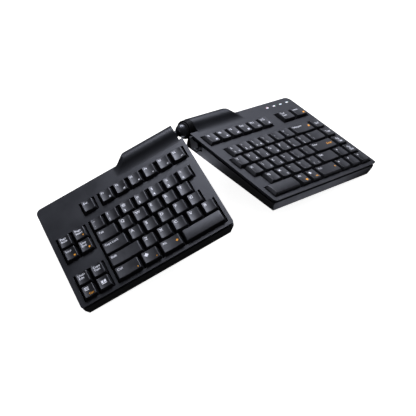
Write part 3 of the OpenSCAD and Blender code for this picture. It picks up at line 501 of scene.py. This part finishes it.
@dataclass(frozen=True)
class Cap:
    """Shape of a keycap, in millimetres on its own deck: a drawn-in block with rounded edges.

    Fields: width and depth at the skirt, whether it is crowned, skirt and top heights, how far the sides,
    front and back draw in, the depth of the finger dish or crown and how far a crown may fall off, the
    edge and corner radii, the wall and how far the roof draws in. Then the stem's width, lower end, taper,
    lead and what covers it, and last the counts and shares that the mesh is divided by.
    """

    width: float
    depth: float
    crowned: bool = False
    skirt: float = -4.2
    top: float = 4.2
    draw_side: float = 2.5
    draw_front: float = 1.0
    draw_back: float = 1.8
    dish: float = 0.7
    crown_fall: float = 1.4
    edge: float = 0.6
    corner_skirt: float = 0.7
    corner_top: float = 1.2
    corner_least: float = 0.3
    wall: float = 1.3
    roof_draw: float = 0.8
    stem: float = 5.0
    stem_end: float = -4.9
    stem_taper: float = 0.9
    stem_lead: float = 0.4
    stem_cover: float = 0.6
    corner_steps: int = 6
    edge_steps: int = 5
    across_splits: int = 10
    along_splits: int = 3
    wall_draws: tuple[float, ...] = (0.0, 0.03, 0.45)
    edge_lead: float = 0.04
    top_shares: tuple[float, ...] = (0.95, 0.8, 0.6, 0.4, 0.2)

    def half_width(self) -> float:
        """Gives half the width of the top."""
        return self.width / 2 - self.draw_side

    def top_range(self) -> Point2:
        """Gives the front and back edges of the top."""
        return (-self.depth / 2 + self.draw_front, self.depth / 2 - self.draw_back)

    def surface(self, x: float, y: float) -> float:
        """Gives the height of the top at a place.

        Args:
            x: place across the key.
            y: place along the key.

        Returns:
            The height of the dish or crown there.
        """
        front, back = self.top_range()
        if self.crowned:
            share = (2 * y - front - back) / (back - front)
            return self.top - self.dish * min(self.crown_fall, share * share)
        share = x / self.half_width()
        return self.top - self.dish * max(0.0, 1.0 - share * share)

    def outline(self, draw: float, inset: float = 0.0) -> list[Point2]:
        """Draws the rounded outline of the cap at a share of its draw.

        Args:
            draw: 0 at the skirt and 1 at the top.
            inset: how far inside that outline.

        Returns:
            Points that run round it, as many for each outline.
        """
        right = self.width / 2 - self.draw_side * draw - inset
        front = -self.depth / 2 + self.draw_front * draw + inset
        back = self.depth / 2 - self.draw_back * draw - inset
        radius = self.corner_skirt + (self.corner_top - self.corner_skirt) * draw - inset
        radius = max(self.corner_least, radius)
        middles = ((right - radius, back - radius), (radius - right, back - radius))
        middles += ((radius - right, front + radius), (right - radius, front + radius))
        points: list[Point2] = []
        for corner, (x, y) in enumerate(middles):
            for step in range(self.corner_steps + 1):
                turn = math.radians(90 * corner + 90 * step / self.corner_steps)
                points.append((x + radius * math.cos(turn), y + radius * math.sin(turn)))
            splits = self.across_splits if corner % 2 == 0 else self.along_splits
            ahead = middles[(corner + 1) % 4]
            leave = math.radians(90 * corner + 90)
            for split in range(1, splits):
                share = split / splits
                points.append((
                    x + (ahead[0] - x) * share + radius * math.cos(leave),
                    y + (ahead[1] - y) * share + radius * math.sin(leave),
                ))
        return points

    def wall_ring(self, draw: float) -> list[Point3]:
        """Gives a ring of the outside, which follows the dish near the top.

        Args:
            draw: 0 at the skirt and 1 at the top.

        Returns:
            The ring's points.
        """
        return [
            (x, y, self.skirt + (self.surface(x, y) - self.skirt) * draw) for x, y in self.outline(draw)
        ]

    def top_ring(self, inset: float, share: float = 1.0) -> list[Point3]:
        """Gives a ring on the top, drawn in towards its middle.

        Args:
            inset: how far inside the top's sharp outline.
            share: how much of that ring's size is kept.

        Returns:
            The ring's points.
        """
        middle = sum(self.top_range()) / 2
        ring = [(x * share, middle + (y - middle) * share) for x, y in self.outline(1.0, inset)]
        return [(x, y, self.surface(x, y)) for x, y in ring]

    def rings(self) -> list[list[Point3]]:
        """Lists the rings of the cap from its inner roof, down and out round the skirt and up to the top.

        Returns:
            The rings, each of the same count.
        """
        roof = self.top - self.dish - self.wall
        bend = 1.0 - self.edge / (self.top - self.skirt)
        inner = [(x, y, roof) for x, y in self.outline(self.roof_draw, self.wall)]
        hem = [(x, y, self.skirt) for x, y in self.outline(0.0, self.wall)]
        draws = (*self.wall_draws, bend - self.edge_lead)
        made = [inner, hem] + [self.wall_ring(draw) for draw in draws]
        low, sharp, high = self.wall_ring(bend), self.wall_ring(1.0), self.top_ring(self.edge)
        for step in range(self.edge_steps + 1):
            s = step / self.edge_steps
            weights = ((1 - s) ** 2, 2 * s * (1 - s), s * s)
            made.append([
                tuple(weights[0] * a + weights[1] * b + weights[2] * c for a, b, c in zip(p, q, r))
                for p, q, r in zip(low, sharp, high)
            ])
        return made + [self.top_ring(self.edge, share) for share in self.top_shares]

    def stem_top(self) -> float:
        """Gives the height at which the stem ends inside the roof."""
        return self.top - self.dish - self.stem_cover

    def stem_rings(self) -> list[list[Point3]]:
        """Lists the rings of the square stem, from its lower end up into the roof.

        Returns:
            The rings, each of four points.
        """
        half = self.stem / 2
        square = [(half, -half), (half, half), (-half, half), (-half, -half)]
        tip = [(x * self.stem_taper, y * self.stem_taper, self.stem_end) for x, y in square]
        levels = (self.stem_end + self.stem_lead, self.stem_top())
        return [tip] + [[(x, y, z) for x, y in square] for z in levels]

    def build(self, draft: MeshDraft, place: Matrix) -> None:
        """Adds the cap and its stem to a draft.

        Args:
            draft: the mesh draft to add to.
            place: the matrix from the cap's own millimetres to the shared frame.
        """
        middle = sum(self.top_range()) / 2
        roof = self.top - self.dish - self.wall
        ends = ((0.0, 0.0, roof), (0.0, middle, self.surface(0.0, middle)))
        for rings, first, last in (
            (self.rings(), *ends),
            (self.stem_rings(), (0.0, 0.0, self.stem_end), (0.0, 0.0, self.stem_top())),
        ):
            points, faces = loft(rings, first, last)
            draft.add([place @ Vector(p) for p in points], faces)


@dataclass(frozen=True)
class Legend:
    """One printed mark: its word or icon, place, height of a capital in millimetres, and ink."""

    mark: str | Icon
    spot: Spot
    height: float
    ink: Ink = Ink.WHITE


Legends = tuple[Legend, ...]


@dataclass
class Printer:
    """Turns words and icons into flat polygons and lays them on key tops.

    Fields: how far a mark stands off the edge of the top's flat, how thick the ink lies, how much the
    strokes are fattened as a share of a capital, the line spacing, the height that a further line takes as
    a share of a capital, the steps of a curved stroke, a store of words drawn before, and the height of a
    capital at size 1, which is measured at the first word.
    """

    margin: float = 2.2
    lift: float = 0.03
    fatten: float = 0.007
    spacing: float = 1.0
    line_share: float = 1.4
    curve_steps: int = 3
    drawn: dict[str, Drawing] = field(default_factory=dict)
    capital: float = 0.0

    def draw_word(self, word: str) -> Drawing:
        """Draws a word with the built-in typeface at size 1.

        Args:
            word: the word, with line breaks where it has several lines.

        Returns:
            The points and the faces of its strokes.
        """
        if word in self.drawn:
            return self.drawn[word]
        curve = bpy.data.curves.new("legend", "FONT")
        curve.body = word
        curve.offset = self.fatten
        curve.space_line = self.spacing
        curve.resolution_u = self.curve_steps
        carrier = bpy.data.objects.new("legend", curve)
        bpy.context.scene.collection.objects.link(carrier)
        bpy.context.view_layer.update()
        evaluated = carrier.evaluated_get(bpy.context.evaluated_depsgraph_get())
        mesh = bpy.data.meshes.new_from_object(evaluated)
        points = [(v.co.x, v.co.y) for v in mesh.vertices]
        faces = [tuple(p.vertices) for p in mesh.polygons]
        bpy.data.meshes.remove(mesh)
        bpy.data.objects.remove(carrier)
        bpy.data.curves.remove(curve)
        self.drawn[word] = (points, faces)
        return self.drawn[word]

    def shape(self, legend: Legend) -> Drawing:
        """Gives a legend's polygons in millimetres, from its own lower left corner.

        Args:
            legend: the mark to draw.

        Returns:
            The points and the faces.
        """
        if isinstance(legend.mark, Icon):
            points = [(x * legend.height, y * legend.height) for ring in legend.mark.value for x, y in ring]
            faces, start = [], 0
            for ring in legend.mark.value:
                faces.append(tuple(range(start, start + len(ring))))
                start += len(ring)
            return points, faces
        if not self.capital:
            tall = self.draw_word("H")[0]
            self.capital = max(y for _, y in tall) - min(y for _, y in tall)
        drawn, faces = self.draw_word(legend.mark)
        size = legend.height / self.capital
        left = min(x for x, _ in drawn)
        base = -size * self.spacing * legend.mark.count("\n")
        return [((x - left) * size, y * size - base) for x, y in drawn], faces

    def extent(self, legend: Legend, points: list[Point2]) -> Point2:
        """Gives the width of a legend and the height that it is set by."""
        lines = 0 if isinstance(legend.mark, Icon) else legend.mark.count("\n")
        return max(x for x, _ in points), legend.height * (1 + self.line_share * lines)

    def lay(self, legend: Legend, cap: Cap, draft: MeshDraft, place: Matrix) -> None:
        """Lays a legend on a key top, following its dish.

        Args:
            legend: the mark to print.
            cap: the keycap that it is printed on.
            draft: the mesh draft to add to.
            place: the matrix from the cap's own millimetres to the shared frame.
        """
        points, faces = self.shape(legend)
        width, height = self.extent(legend, points)
        front, back = cap.top_range()
        room = 2 * (cap.half_width() - self.margin) - width
        depth = back - front - 2 * self.margin - height
        x0 = -cap.half_width() + self.margin + room * legend.spot.value[0]
        y0 = front + self.margin + depth * legend.spot.value[1]
        laid = [(x0 + x, y0 + y) for x, y in points]
        raised = [place @ Vector((x, y, cap.surface(x, y) + self.lift)) for x, y in laid]
        draft.add(raised, faces, legend.ink.value)


@dataclass(frozen=True)
class Key:
    """One key: its left edge in key pitches, its row, its width in key pitches and its legends."""

    x: float
    row: Row
    width: float = 1.0
    legends: Legends = ()


def row_of(x: float, row: Row, labels: list[Legends], width: float = 1.0) -> list[Key]:
    """Lays keys of one width side by side.

    Args:
        x: left edge of the first key, in key pitches.
        row: the row they stand in.
        labels: the legends of each key.
        width: the width of each key, in key pitches.

    Returns:
        The keys.
    """
    return [Key(x + i * width, row, width, label) for i, label in enumerate(labels)]


def block_of(x: float, rows: tuple[Row, Row], columns: list[list[Legends]]) -> list[Key]:
    """Lays single keys in columns side by side.

    Args:
        x: left edge of the first column, in key pitches.
        rows: the rows that each column runs over.
        columns: the legends of each column's keys.

    Returns:
        The keys.
    """
    return [
        Key(x + place, row, 1.0, label)
        for place, column in enumerate(columns)
        for row, label in zip(rows, column)
    ]


@dataclass(frozen=True)
class PrintSizes:
    """Heights of the printed marks.

    Fields: the heights, in millimetres, of words, letters, paired marks and second marks, small notes,
    notes on wide keys and the words of the navigation keys, then of the function keys' numbers with their
    icons' share of that height, and last of the single icons.
    """

    word: float = 2.8
    letter: float = 3.7
    pair: float = 3.1
    pad: float = 2.5
    note: float = 2.6
    wide_note: float = 3.0
    navigation: float = 3.4
    left_function: float = 2.4
    right_function: float = 3.2
    icon_share: float = 0.75
    arrow: float = 2.6
    small_arrow: float = 1.7
    list_icon: float = 4.4
    panel_icon: float = 5.0
    play_icon: float = 2.4
    left_dot: float = 2.2
    right_dot: float = 2.8
    control_dot: float = 1.8
    left_system: float = 5.4
    right_system: float = 4.6
    alt_diamond: float = 3.4


PRINT = PrintSizes()


def word(text: str, extra: Legends = ()) -> Legends:
    """Gives the legend of a key with a word at its back left."""
    return (Legend(text, Spot.BACK_LEFT, PRINT.word), *extra)


def letters(text: str, pads: str = "") -> list[Legends]:
    """Gives the legends of letter keys.

    Args:
        text: one capital for each key.
        pads: a small second mark for each key, or a space where it has none.

    Returns:
        The legends of each key.
    """
    made = []
    for capital, pad in zip(text, pads.ljust(len(text))):
        second = (Legend(pad, Spot.FRONT_RIGHT, PRINT.pad),) if pad != " " else ()
        made.append((Legend(capital, Spot.BACK_LEFT, PRINT.letter), *second))
    return made


def pairs(upper: str, lower: str, pads: str = "") -> list[Legends]:
    """Gives the legends of keys with one mark above another.

    Args:
        upper: the upper mark of each key.
        lower: the lower mark of each key.
        pads: a small third mark for each key, or a space where it has none.

    Returns:
        The legends of each key.
    """
    made = []
    for high, low, pad in zip(upper, lower, pads.ljust(len(upper))):
        third = (Legend(pad, Spot.FRONT_RIGHT, PRINT.pad),) if pad != " " else ()
        upper_mark = Legend(high, Spot.BACK_LEFT, PRINT.pair)
        lower_mark = Legend(low, Spot.FRONT_LEFT, PRINT.pair)
        made.append((upper_mark, lower_mark, *third))
    return made


def functions(first: int, icons: list[Icon], height: float) -> list[Legends]:
    """Gives the legends of function keys: a number at the back and a small icon at the front.

    Args:
        first: the number of the first key.
        icons: the icon of each key.
        height: the height of the number.

    Returns:
        The legends of each key.
    """
    small = PRINT.icon_share * height
    return [
        (Legend(f"F{first + i}", Spot.BACK_LEFT, height), Legend(icon, Spot.FRONT_RIGHT, small))
        for i, icon in enumerate(icons)
    ]


def orange(mark: str | Icon, height: float = PRINT.note, spot: Spot = Spot.FRONT_RIGHT) -> Legends:
    """Gives a small orange legend."""
    return (Legend(mark, spot, height, Ink.ORANGE),)


@dataclass
class KeyGroup:
    """The caps of one packed key node and the legends printed on them.

    Fields: the node, which is also the body it rides on, its half, its keys, the gap between caps and
    the width from which a key is crowned in place of dished.
    """

    node: str
    side: Side
    keys: list[Key]
    gap: float = 0.85
    crown_from: float = 2.5

    def cap(self, key: Key, deck: Deck) -> Cap:
        """Gives the cap of one key."""
        width = key.width * deck.pitch - self.gap
        return Cap(width, deck.pitch - self.gap, key.width >= self.crown_from)

    def build(self, deck: Deck, printer: Printer) -> int:
        """Makes the caps and legends and lets them ride on the node's body.

        Args:
            deck: the deck that the keys stand on.
            printer: what draws the legends.

        Returns:
            How many keys were made.
        """
        caps, marks = MeshDraft(), MeshDraft()
        for key in self.keys:
            middle = (deck.key_x(key.x + key.width / 2), deck.key_y(key.row), 0.0)
            place = deck.to_world() @ Matrix.Translation(middle)
            cap = self.cap(key, deck)
            cap.build(caps, place)
            for legend in key.legends:
                printer.lay(legend, cap, marks, place)
        dressed = caps.piece(f"{self.node}_caps", [KEY_ABS])
        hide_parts(self.node)
        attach(dressed, self.node)
        if marks.faces:
            printed = marks.piece(f"{self.node}_legends", [WHITE_INK, ORANGE_INK], smooth=False)
            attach(printed, self.node)
        return len(self.keys)


def left_keys() -> list[KeyGroup]:
    """Lists the key groups of the left half.

    Returns:
        The groups, each with its keys and legends.
    """
    dot = orange(Icon.STOP, PRINT.left_dot)
    upper_marks = [
        [word("Page\nBack"), word("Line", dot)],
        [word("Page\nNext", orange(Icon.PLAY, PRINT.play_icon)), word("Line\nEnd", dot)],
    ]
    lower_marks = [
        [word("Undo\nEdit"), (Legend(Icon.LIST, Spot.BACK_LEFT, PRINT.list_icon), *orange("Cut"))],
        [word("Copy\nText"), (Legend(Icon.PANEL, Spot.MIDDLE, PRINT.panel_icon),)],
    ]
    edit_start = -2.23
    control = word("Ctrl", orange(Icon.UP, PRINT.small_arrow))
    system = (
        Legend(Icon.DIAMOND, Spot.BACK_LEFT, PRINT.left_system), *orange(Icon.DOWN, PRINT.small_arrow)
    )
    alt = word("Alt", orange(Icon.DIAMOND, PRINT.alt_diamond, Spot.RIGHT))
    glyphs = [Icon.LIST, Icon.PANEL, Icon.STOP, Icon.PLAY, Icon.PAUSE, Icon.SKIP]
    rows = {
        "escape_key": [Key(0, Row.FUNCTION, 1.0, word("Esc"))],
        "left_function_keys": row_of(1.25, Row.FUNCTION, functions(1, glyphs, PRINT.left_function)),
        "left_number_keys": row_of(0, Row.NUMBER, pairs("~!@#$%^", "`123456")),
        "tab_key": [Key(0, Row.UPPER, 1.5, word("Tab"))],
        "left_upper_letter_keys": row_of(1.5, Row.UPPER, letters("QWERT")),
        "caps_lock_key": [Key(0, Row.HOME, 1.75, word("Caps Lock"))],
        "left_home_letter_keys": row_of(1.75, Row.HOME, letters("ASDFG")),
        "left_shift_key": [Key(0, Row.LOWER, 2.25, word("Shift"))],
        "left_lower_letter_keys": row_of(2.25, Row.LOWER, letters("ZXCVB")),
        "left_control_key": [Key(0, Row.SPACE, 1.75, control)],
        "left_system_key": [Key(1.75, Row.SPACE, 1.25, system)],
        "left_alt_key": [Key(3.0, Row.SPACE, 1.5, alt)],
        "left_space_key": [Key(4.5, Row.SPACE, 2.75)],
        "upper_edit_keys": block_of(edit_start, (Row.NUMBER, Row.UPPER), upper_marks),
        "lower_edit_keys": block_of(edit_start, (Row.LOWER, Row.SPACE), lower_marks),
    }
    return [KeyGroup(node, Side.LEFT, keys) for node, keys in rows.items()]


def right_keys() -> list[KeyGroup]:
    """Lists the key groups of the right half.

    Returns:
        The groups, each with its keys and legends.
    """
    glyphs = [Icon.STOP, Icon.PLAY, Icon.SKIP, Icon.PANEL, Icon.LIST, Icon.PAUSE]
    pointers = (Icon.UP, Icon.BACK, Icon.DOWN, Icon.AHEAD)
    up, *others = [(Legend(icon, Spot.BACK_LEFT, PRINT.arrow),) for icon in pointers]
    dot = orange(Icon.STOP, PRINT.right_dot)
    backspace = word("Backspace", orange(Icon.STOP, PRINT.wide_note, Spot.RIGHT))
    enter = word("Enter", orange("Enter", PRINT.wide_note, Spot.RIGHT))
    system = (Legend(Icon.DIAMOND, Spot.BACK_LEFT, PRINT.right_system), *orange("fn"))
    control = word("Ctrl", orange(Icon.STOP, PRINT.control_dot, Spot.RIGHT))
    side_words = {Row.NUMBER: "Del", Row.UPPER: "Top", Row.HOME: "Pg\nUp", Row.LOWER: "Pg\nDn"}
    rows = {
        "right_function_keys": row_of(-0.5, Row.FUNCTION, functions(7, glyphs, PRINT.right_function)),
        "screen_keys": row_of(6.5, Row.FUNCTION, [word("Print\nScrn"), word("Insert", dot)], 1.25),
        "right_number_keys": row_of(0, Row.NUMBER, pairs("&*()_+", "7890-=", "789")),
        "backspace_key": [Key(6, Row.NUMBER, 2.0, backspace)],
        "right_upper_letter_keys": row_of(-0.5, Row.UPPER, letters("YUIOP", " 456*") + pairs("{}", "[]")),
        "backslash_key": [Key(6.5, Row.UPPER, 1.5, pairs("|", "\\")[0])],
        "right_home_letter_keys": row_of(-0.25, Row.HOME, letters("HJKL", " 123") + pairs(":\"", ";'", "-")),
        "enter_key": [Key(5.75, Row.HOME, 2.25, enter)],
        "right_lower_letter_keys": row_of(0.25, Row.LOWER, letters("NM", " 0") + pairs("<>?", ",./", " ./")),
        "right_shift_key": [Key(5.25, Row.LOWER, 1.75, word("Shift"))],
        "right_space_key": [Key(-0.5, Row.SPACE, 2.5)],
        "right_alt_key": [Key(2, Row.SPACE, 1.0, word("Alt", dot))],
        "right_system_key": [Key(3, Row.SPACE, 1.0, system)],
        "right_control_key": [Key(4, Row.SPACE, 2.0, control)],
        "arrow_keys": [Key(7, Row.LOWER, 1.0, up), *row_of(6, Row.SPACE, others)],
        "navigation_keys": [
            Key(8, row, 1.0, (Legend(text, Spot.MIDDLE, PRINT.navigation),))
            for row, text in side_words.items()
        ],
    }
    return [KeyGroup(node, Side.RIGHT, keys) for node, keys in rows.items()]


@dataclass
class PackedPart:
    """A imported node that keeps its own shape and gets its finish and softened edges.

    Fields: the node, the width of its softened edges in millimetres, how many faces make one, the least
    angle of an edge that is softened, and how near points are joined first, in millimetres.
    """

    node: str
    soften: float = 0.0
    segments: int = 3
    least_angle: float = 32.0
    join: float = 0.002

    def slot(self) -> str:
        """Gives the material slot that the node has in model.glb."""
        return FRAME["nodes"][self.node].data.materials[0].name.split(".")[0]

    def dress(self) -> Finish:
        """Puts the finish on the node and softens its edges.

        Returns:
            The finish that it got.
        """
        shown = FRAME["nodes"][self.node]
        finish = SLOT_FINISHES[self.slot()]
        for place in shown.material_slots:
            place.material = finish.material()
        if self.soften:
            weld = shown.modifiers.new("join", "WELD")
            weld.merge_threshold = self.join * MM
            edge = shown.modifiers.new("soften", "BEVEL")
            edge.width = self.soften * MM
            edge.segments = self.segments
            edge.limit_method = "ANGLE"
            edge.angle_limit = math.radians(self.least_angle)
            edge.use_clamp_overlap = True
            edge.loop_slide = False
            edge.miter_outer = "MITER_ARC"
            even = shown.modifiers.new("even", "WEIGHTED_NORMAL")
            even.keep_sharp = False
        return finish


class Lit(Enum):
    """What a light falls on."""

    OBJECT = "EXCLUDE"
    FLOOR = "INCLUDE"


@dataclass(frozen=True)
class Softbox:
    """One soft light.

    Fields: its name, its place and aim in metres, its width and height, its power in watts, its colour,
    what it falls on and whether it shows in gleams.
    """

    name: str
    at: Point3
    aim: Point3
    size: Point2
    power: float
    colour: str = "e9edff"
    lit: Lit = Lit.OBJECT
    gleams: bool = True

    def hang(self, floor: bpy.types.Object) -> None:
        """Hangs the light, turns it to its aim and keeps it on or off the floor.

        Args:
            floor: the studio's floor.
        """
        lamp = bpy.data.lights.new(self.name, "AREA")
        lamp.shape = "RECTANGLE"
        lamp.size, lamp.size_y = self.size
        lamp.energy = self.power
        lamp.color = linear(self.colour)[:3]
        hung = bpy.data.objects.new(self.name, lamp)
        hung.location = self.at
        hung.rotation_euler = (Vector(self.aim) - Vector(self.at)).to_track_quat("-Z", "Y").to_euler()
        hung.visible_glossy = self.gleams
        bpy.context.scene.collection.objects.link(hung)
        group = bpy.data.collections.new(f"{self.name}_receivers")
        group.objects.link(floor)
        hung.light_linking.receiver_collection = group
        group.collection_objects[0].light_linking.link_state = self.lit.value


PURE_WHITE = "ffffff"
KEYBOARD_MIDDLE: Point3 = (0.0, 0.0, 0.05)

# A large box behind gives the decks and key tops their gleam, one low at the right gives it to the right
# half, one at the left lights the left slopes of the keys, and one by the camera brings out the print.
# A card on the desk lights the right half's front wall from below, and a small one the inner wall beside the
# ball. The last falls on the floor alone, which keeps the soft shadow close round the keyboard.
SOFTBOXES: tuple[Softbox, ...] = (
    Softbox("back_softbox", (0.35, 0.75, 0.95), KEYBOARD_MIDDLE, (0.7, 0.5), 25.0),
    Softbox("right_softbox", (1.0, 0.8, 0.5), (0.1, 0.0, 0.05), (0.6, 0.5), 1.8),
    Softbox("left_softbox", (-1.3, 0.1, 0.45), KEYBOARD_MIDDLE, (0.9, 0.5), 3.0),
    Softbox("front_softbox", (0.4, -0.7, 1.2), KEYBOARD_MIDDLE, (0.5, 0.5), 7.5, PURE_WHITE, gleams=False),
    Softbox("card_softbox", (0.235, -0.195, 0.002), (0.235, -0.195, 1.0), (0.35, 0.25), 0.2),
    Softbox("gap_softbox", (-0.005, 0.06, 0.002), (-0.005, 0.06, 1.0), (0.05, 0.03), 0.012),
    Softbox("floor_softbox", (0.0, 0.0, 1.2), (0.0, 0.0, 0.0), (2.4, 2.4), 20.0, PURE_WHITE, Lit.FLOOR),
)


@dataclass
class Studio:
    """Floor, lights, camera and how the picture is developed.

    Fields: the floor's width and drop in metres, the camera's place from the ball, its axes, its lens and
    sensor in millimetres, the nearest and farthest it sees in metres, and the strength of the surround.
    """

    floor_width: float = 8.0
    floor_drop: float = 0.0002
    camera_from_ball: Point3 = (-0.550743, -0.890501, 0.959535)
    camera_right: Point3 = (0.831043, -0.556161, -0.007237)
    camera_back: Point3 = (-0.380449, -0.577881, 0.722019)
    lens: float = 103.85
    sensor: float = 36.0
    sight: Point2 = (0.01, 50.0)
    world_strength: float = 0.035

    def floor(self) -> bpy.types.Object:
        """Lays a plain white floor that the feet stand on and that throws no light back up.

        Returns:
            The floor.
        """
        half = self.floor_width / 2
        corners = ((-half, -half), (half, -half), (half, half), (-half, half))
        draft = MeshDraft()
        draft.add([Vector((x, y, -self.floor_drop)) for x, y in corners], [(0, 1, 2, 3)])
        laid = draft.piece("studio_floor", [FLOOR_BOARD], smooth=False)
        laid.visible_diffuse = False
        laid.visible_glossy = False
        return laid

    def lights(self, floor: bpy.types.Object) -> None:
        """Sets a dim surround and hangs the softboxes.

        Args:
            floor: the studio's floor.
        """
        world = bpy.data.worlds.new("studio")
        world.use_nodes = True
        tree = world.node_tree
        tree.nodes.clear()
        settings = {"Color": linear(PURE_WHITE), "Strength": self.world_strength}
        sky = add_node(tree, "ShaderNodeBackground", settings)
        add_node(tree, "ShaderNodeOutputWorld", {}, {"Surface": sky.outputs["Background"]})
        bpy.context.scene.world = world
        for box in SOFTBOXES:
            box.hang(floor)

    def camera(self) -> None:
        """Sets the camera where the photograph was taken from."""
        back = Vector(self.camera_back).normalized()
        right = Vector(self.camera_right)
        right = (right - back * right.dot(back)).normalized()
        lens = bpy.data.cameras.new("photo_camera")
        lens.lens = self.lens
        lens.sensor_width = self.sensor
        lens.clip_start, lens.clip_end = self.sight
        held = bpy.data.objects.new("photo_camera", lens)
        turn = Matrix((right, back.cross(right), back)).transposed().to_4x4()
        ball = Vector(joint_named("ball_twist")["pos_m"])
        held.matrix_world = Matrix.Translation(ball + Vector(self.camera_from_ball)) @ turn
        bpy.context.scene.collection.objects.link(held)
        bpy.context.scene.camera = held

    def build(self) -> None:
        """Builds the studio."""
        self.lights(self.floor())
        self.camera()
        bpy.context.scene.view_settings.view_transform = "Standard"


# Widths of the softened edges, in millimetres.
SOFTENED: dict[str, float] = {
    "left_top_case": 0.7,
    "right_top_case": 0.7,
    "left_bottom_case": 0.6,
    "right_bottom_case": 0.6,
    "ribbed_collar": 0.3,
    "lock_lever": 0.4,
    "cable_gland": 0.4,
    "indicator_lenses": 0.3,
}


def main() -> None:
    """Builds the keyboard's looks and the studio, and reports each piece."""
    logging.basicConfig(level=logging.INFO, format="%(name)s: %(message)s")
    Studio().build()
    printer = Printer()
    for group in left_keys() + right_keys():
        count = group.build(Deck(group.side), printer)
        LOG.info("%s: %d caps", group.node, count)
    for node in FRAME["nodes"]:
        finish = PackedPart(node, SOFTENED.get(node, 0.0)).dress()
        LOG.info("%s: %s", node, finish.name)


if __name__ == "__main__":
    main()
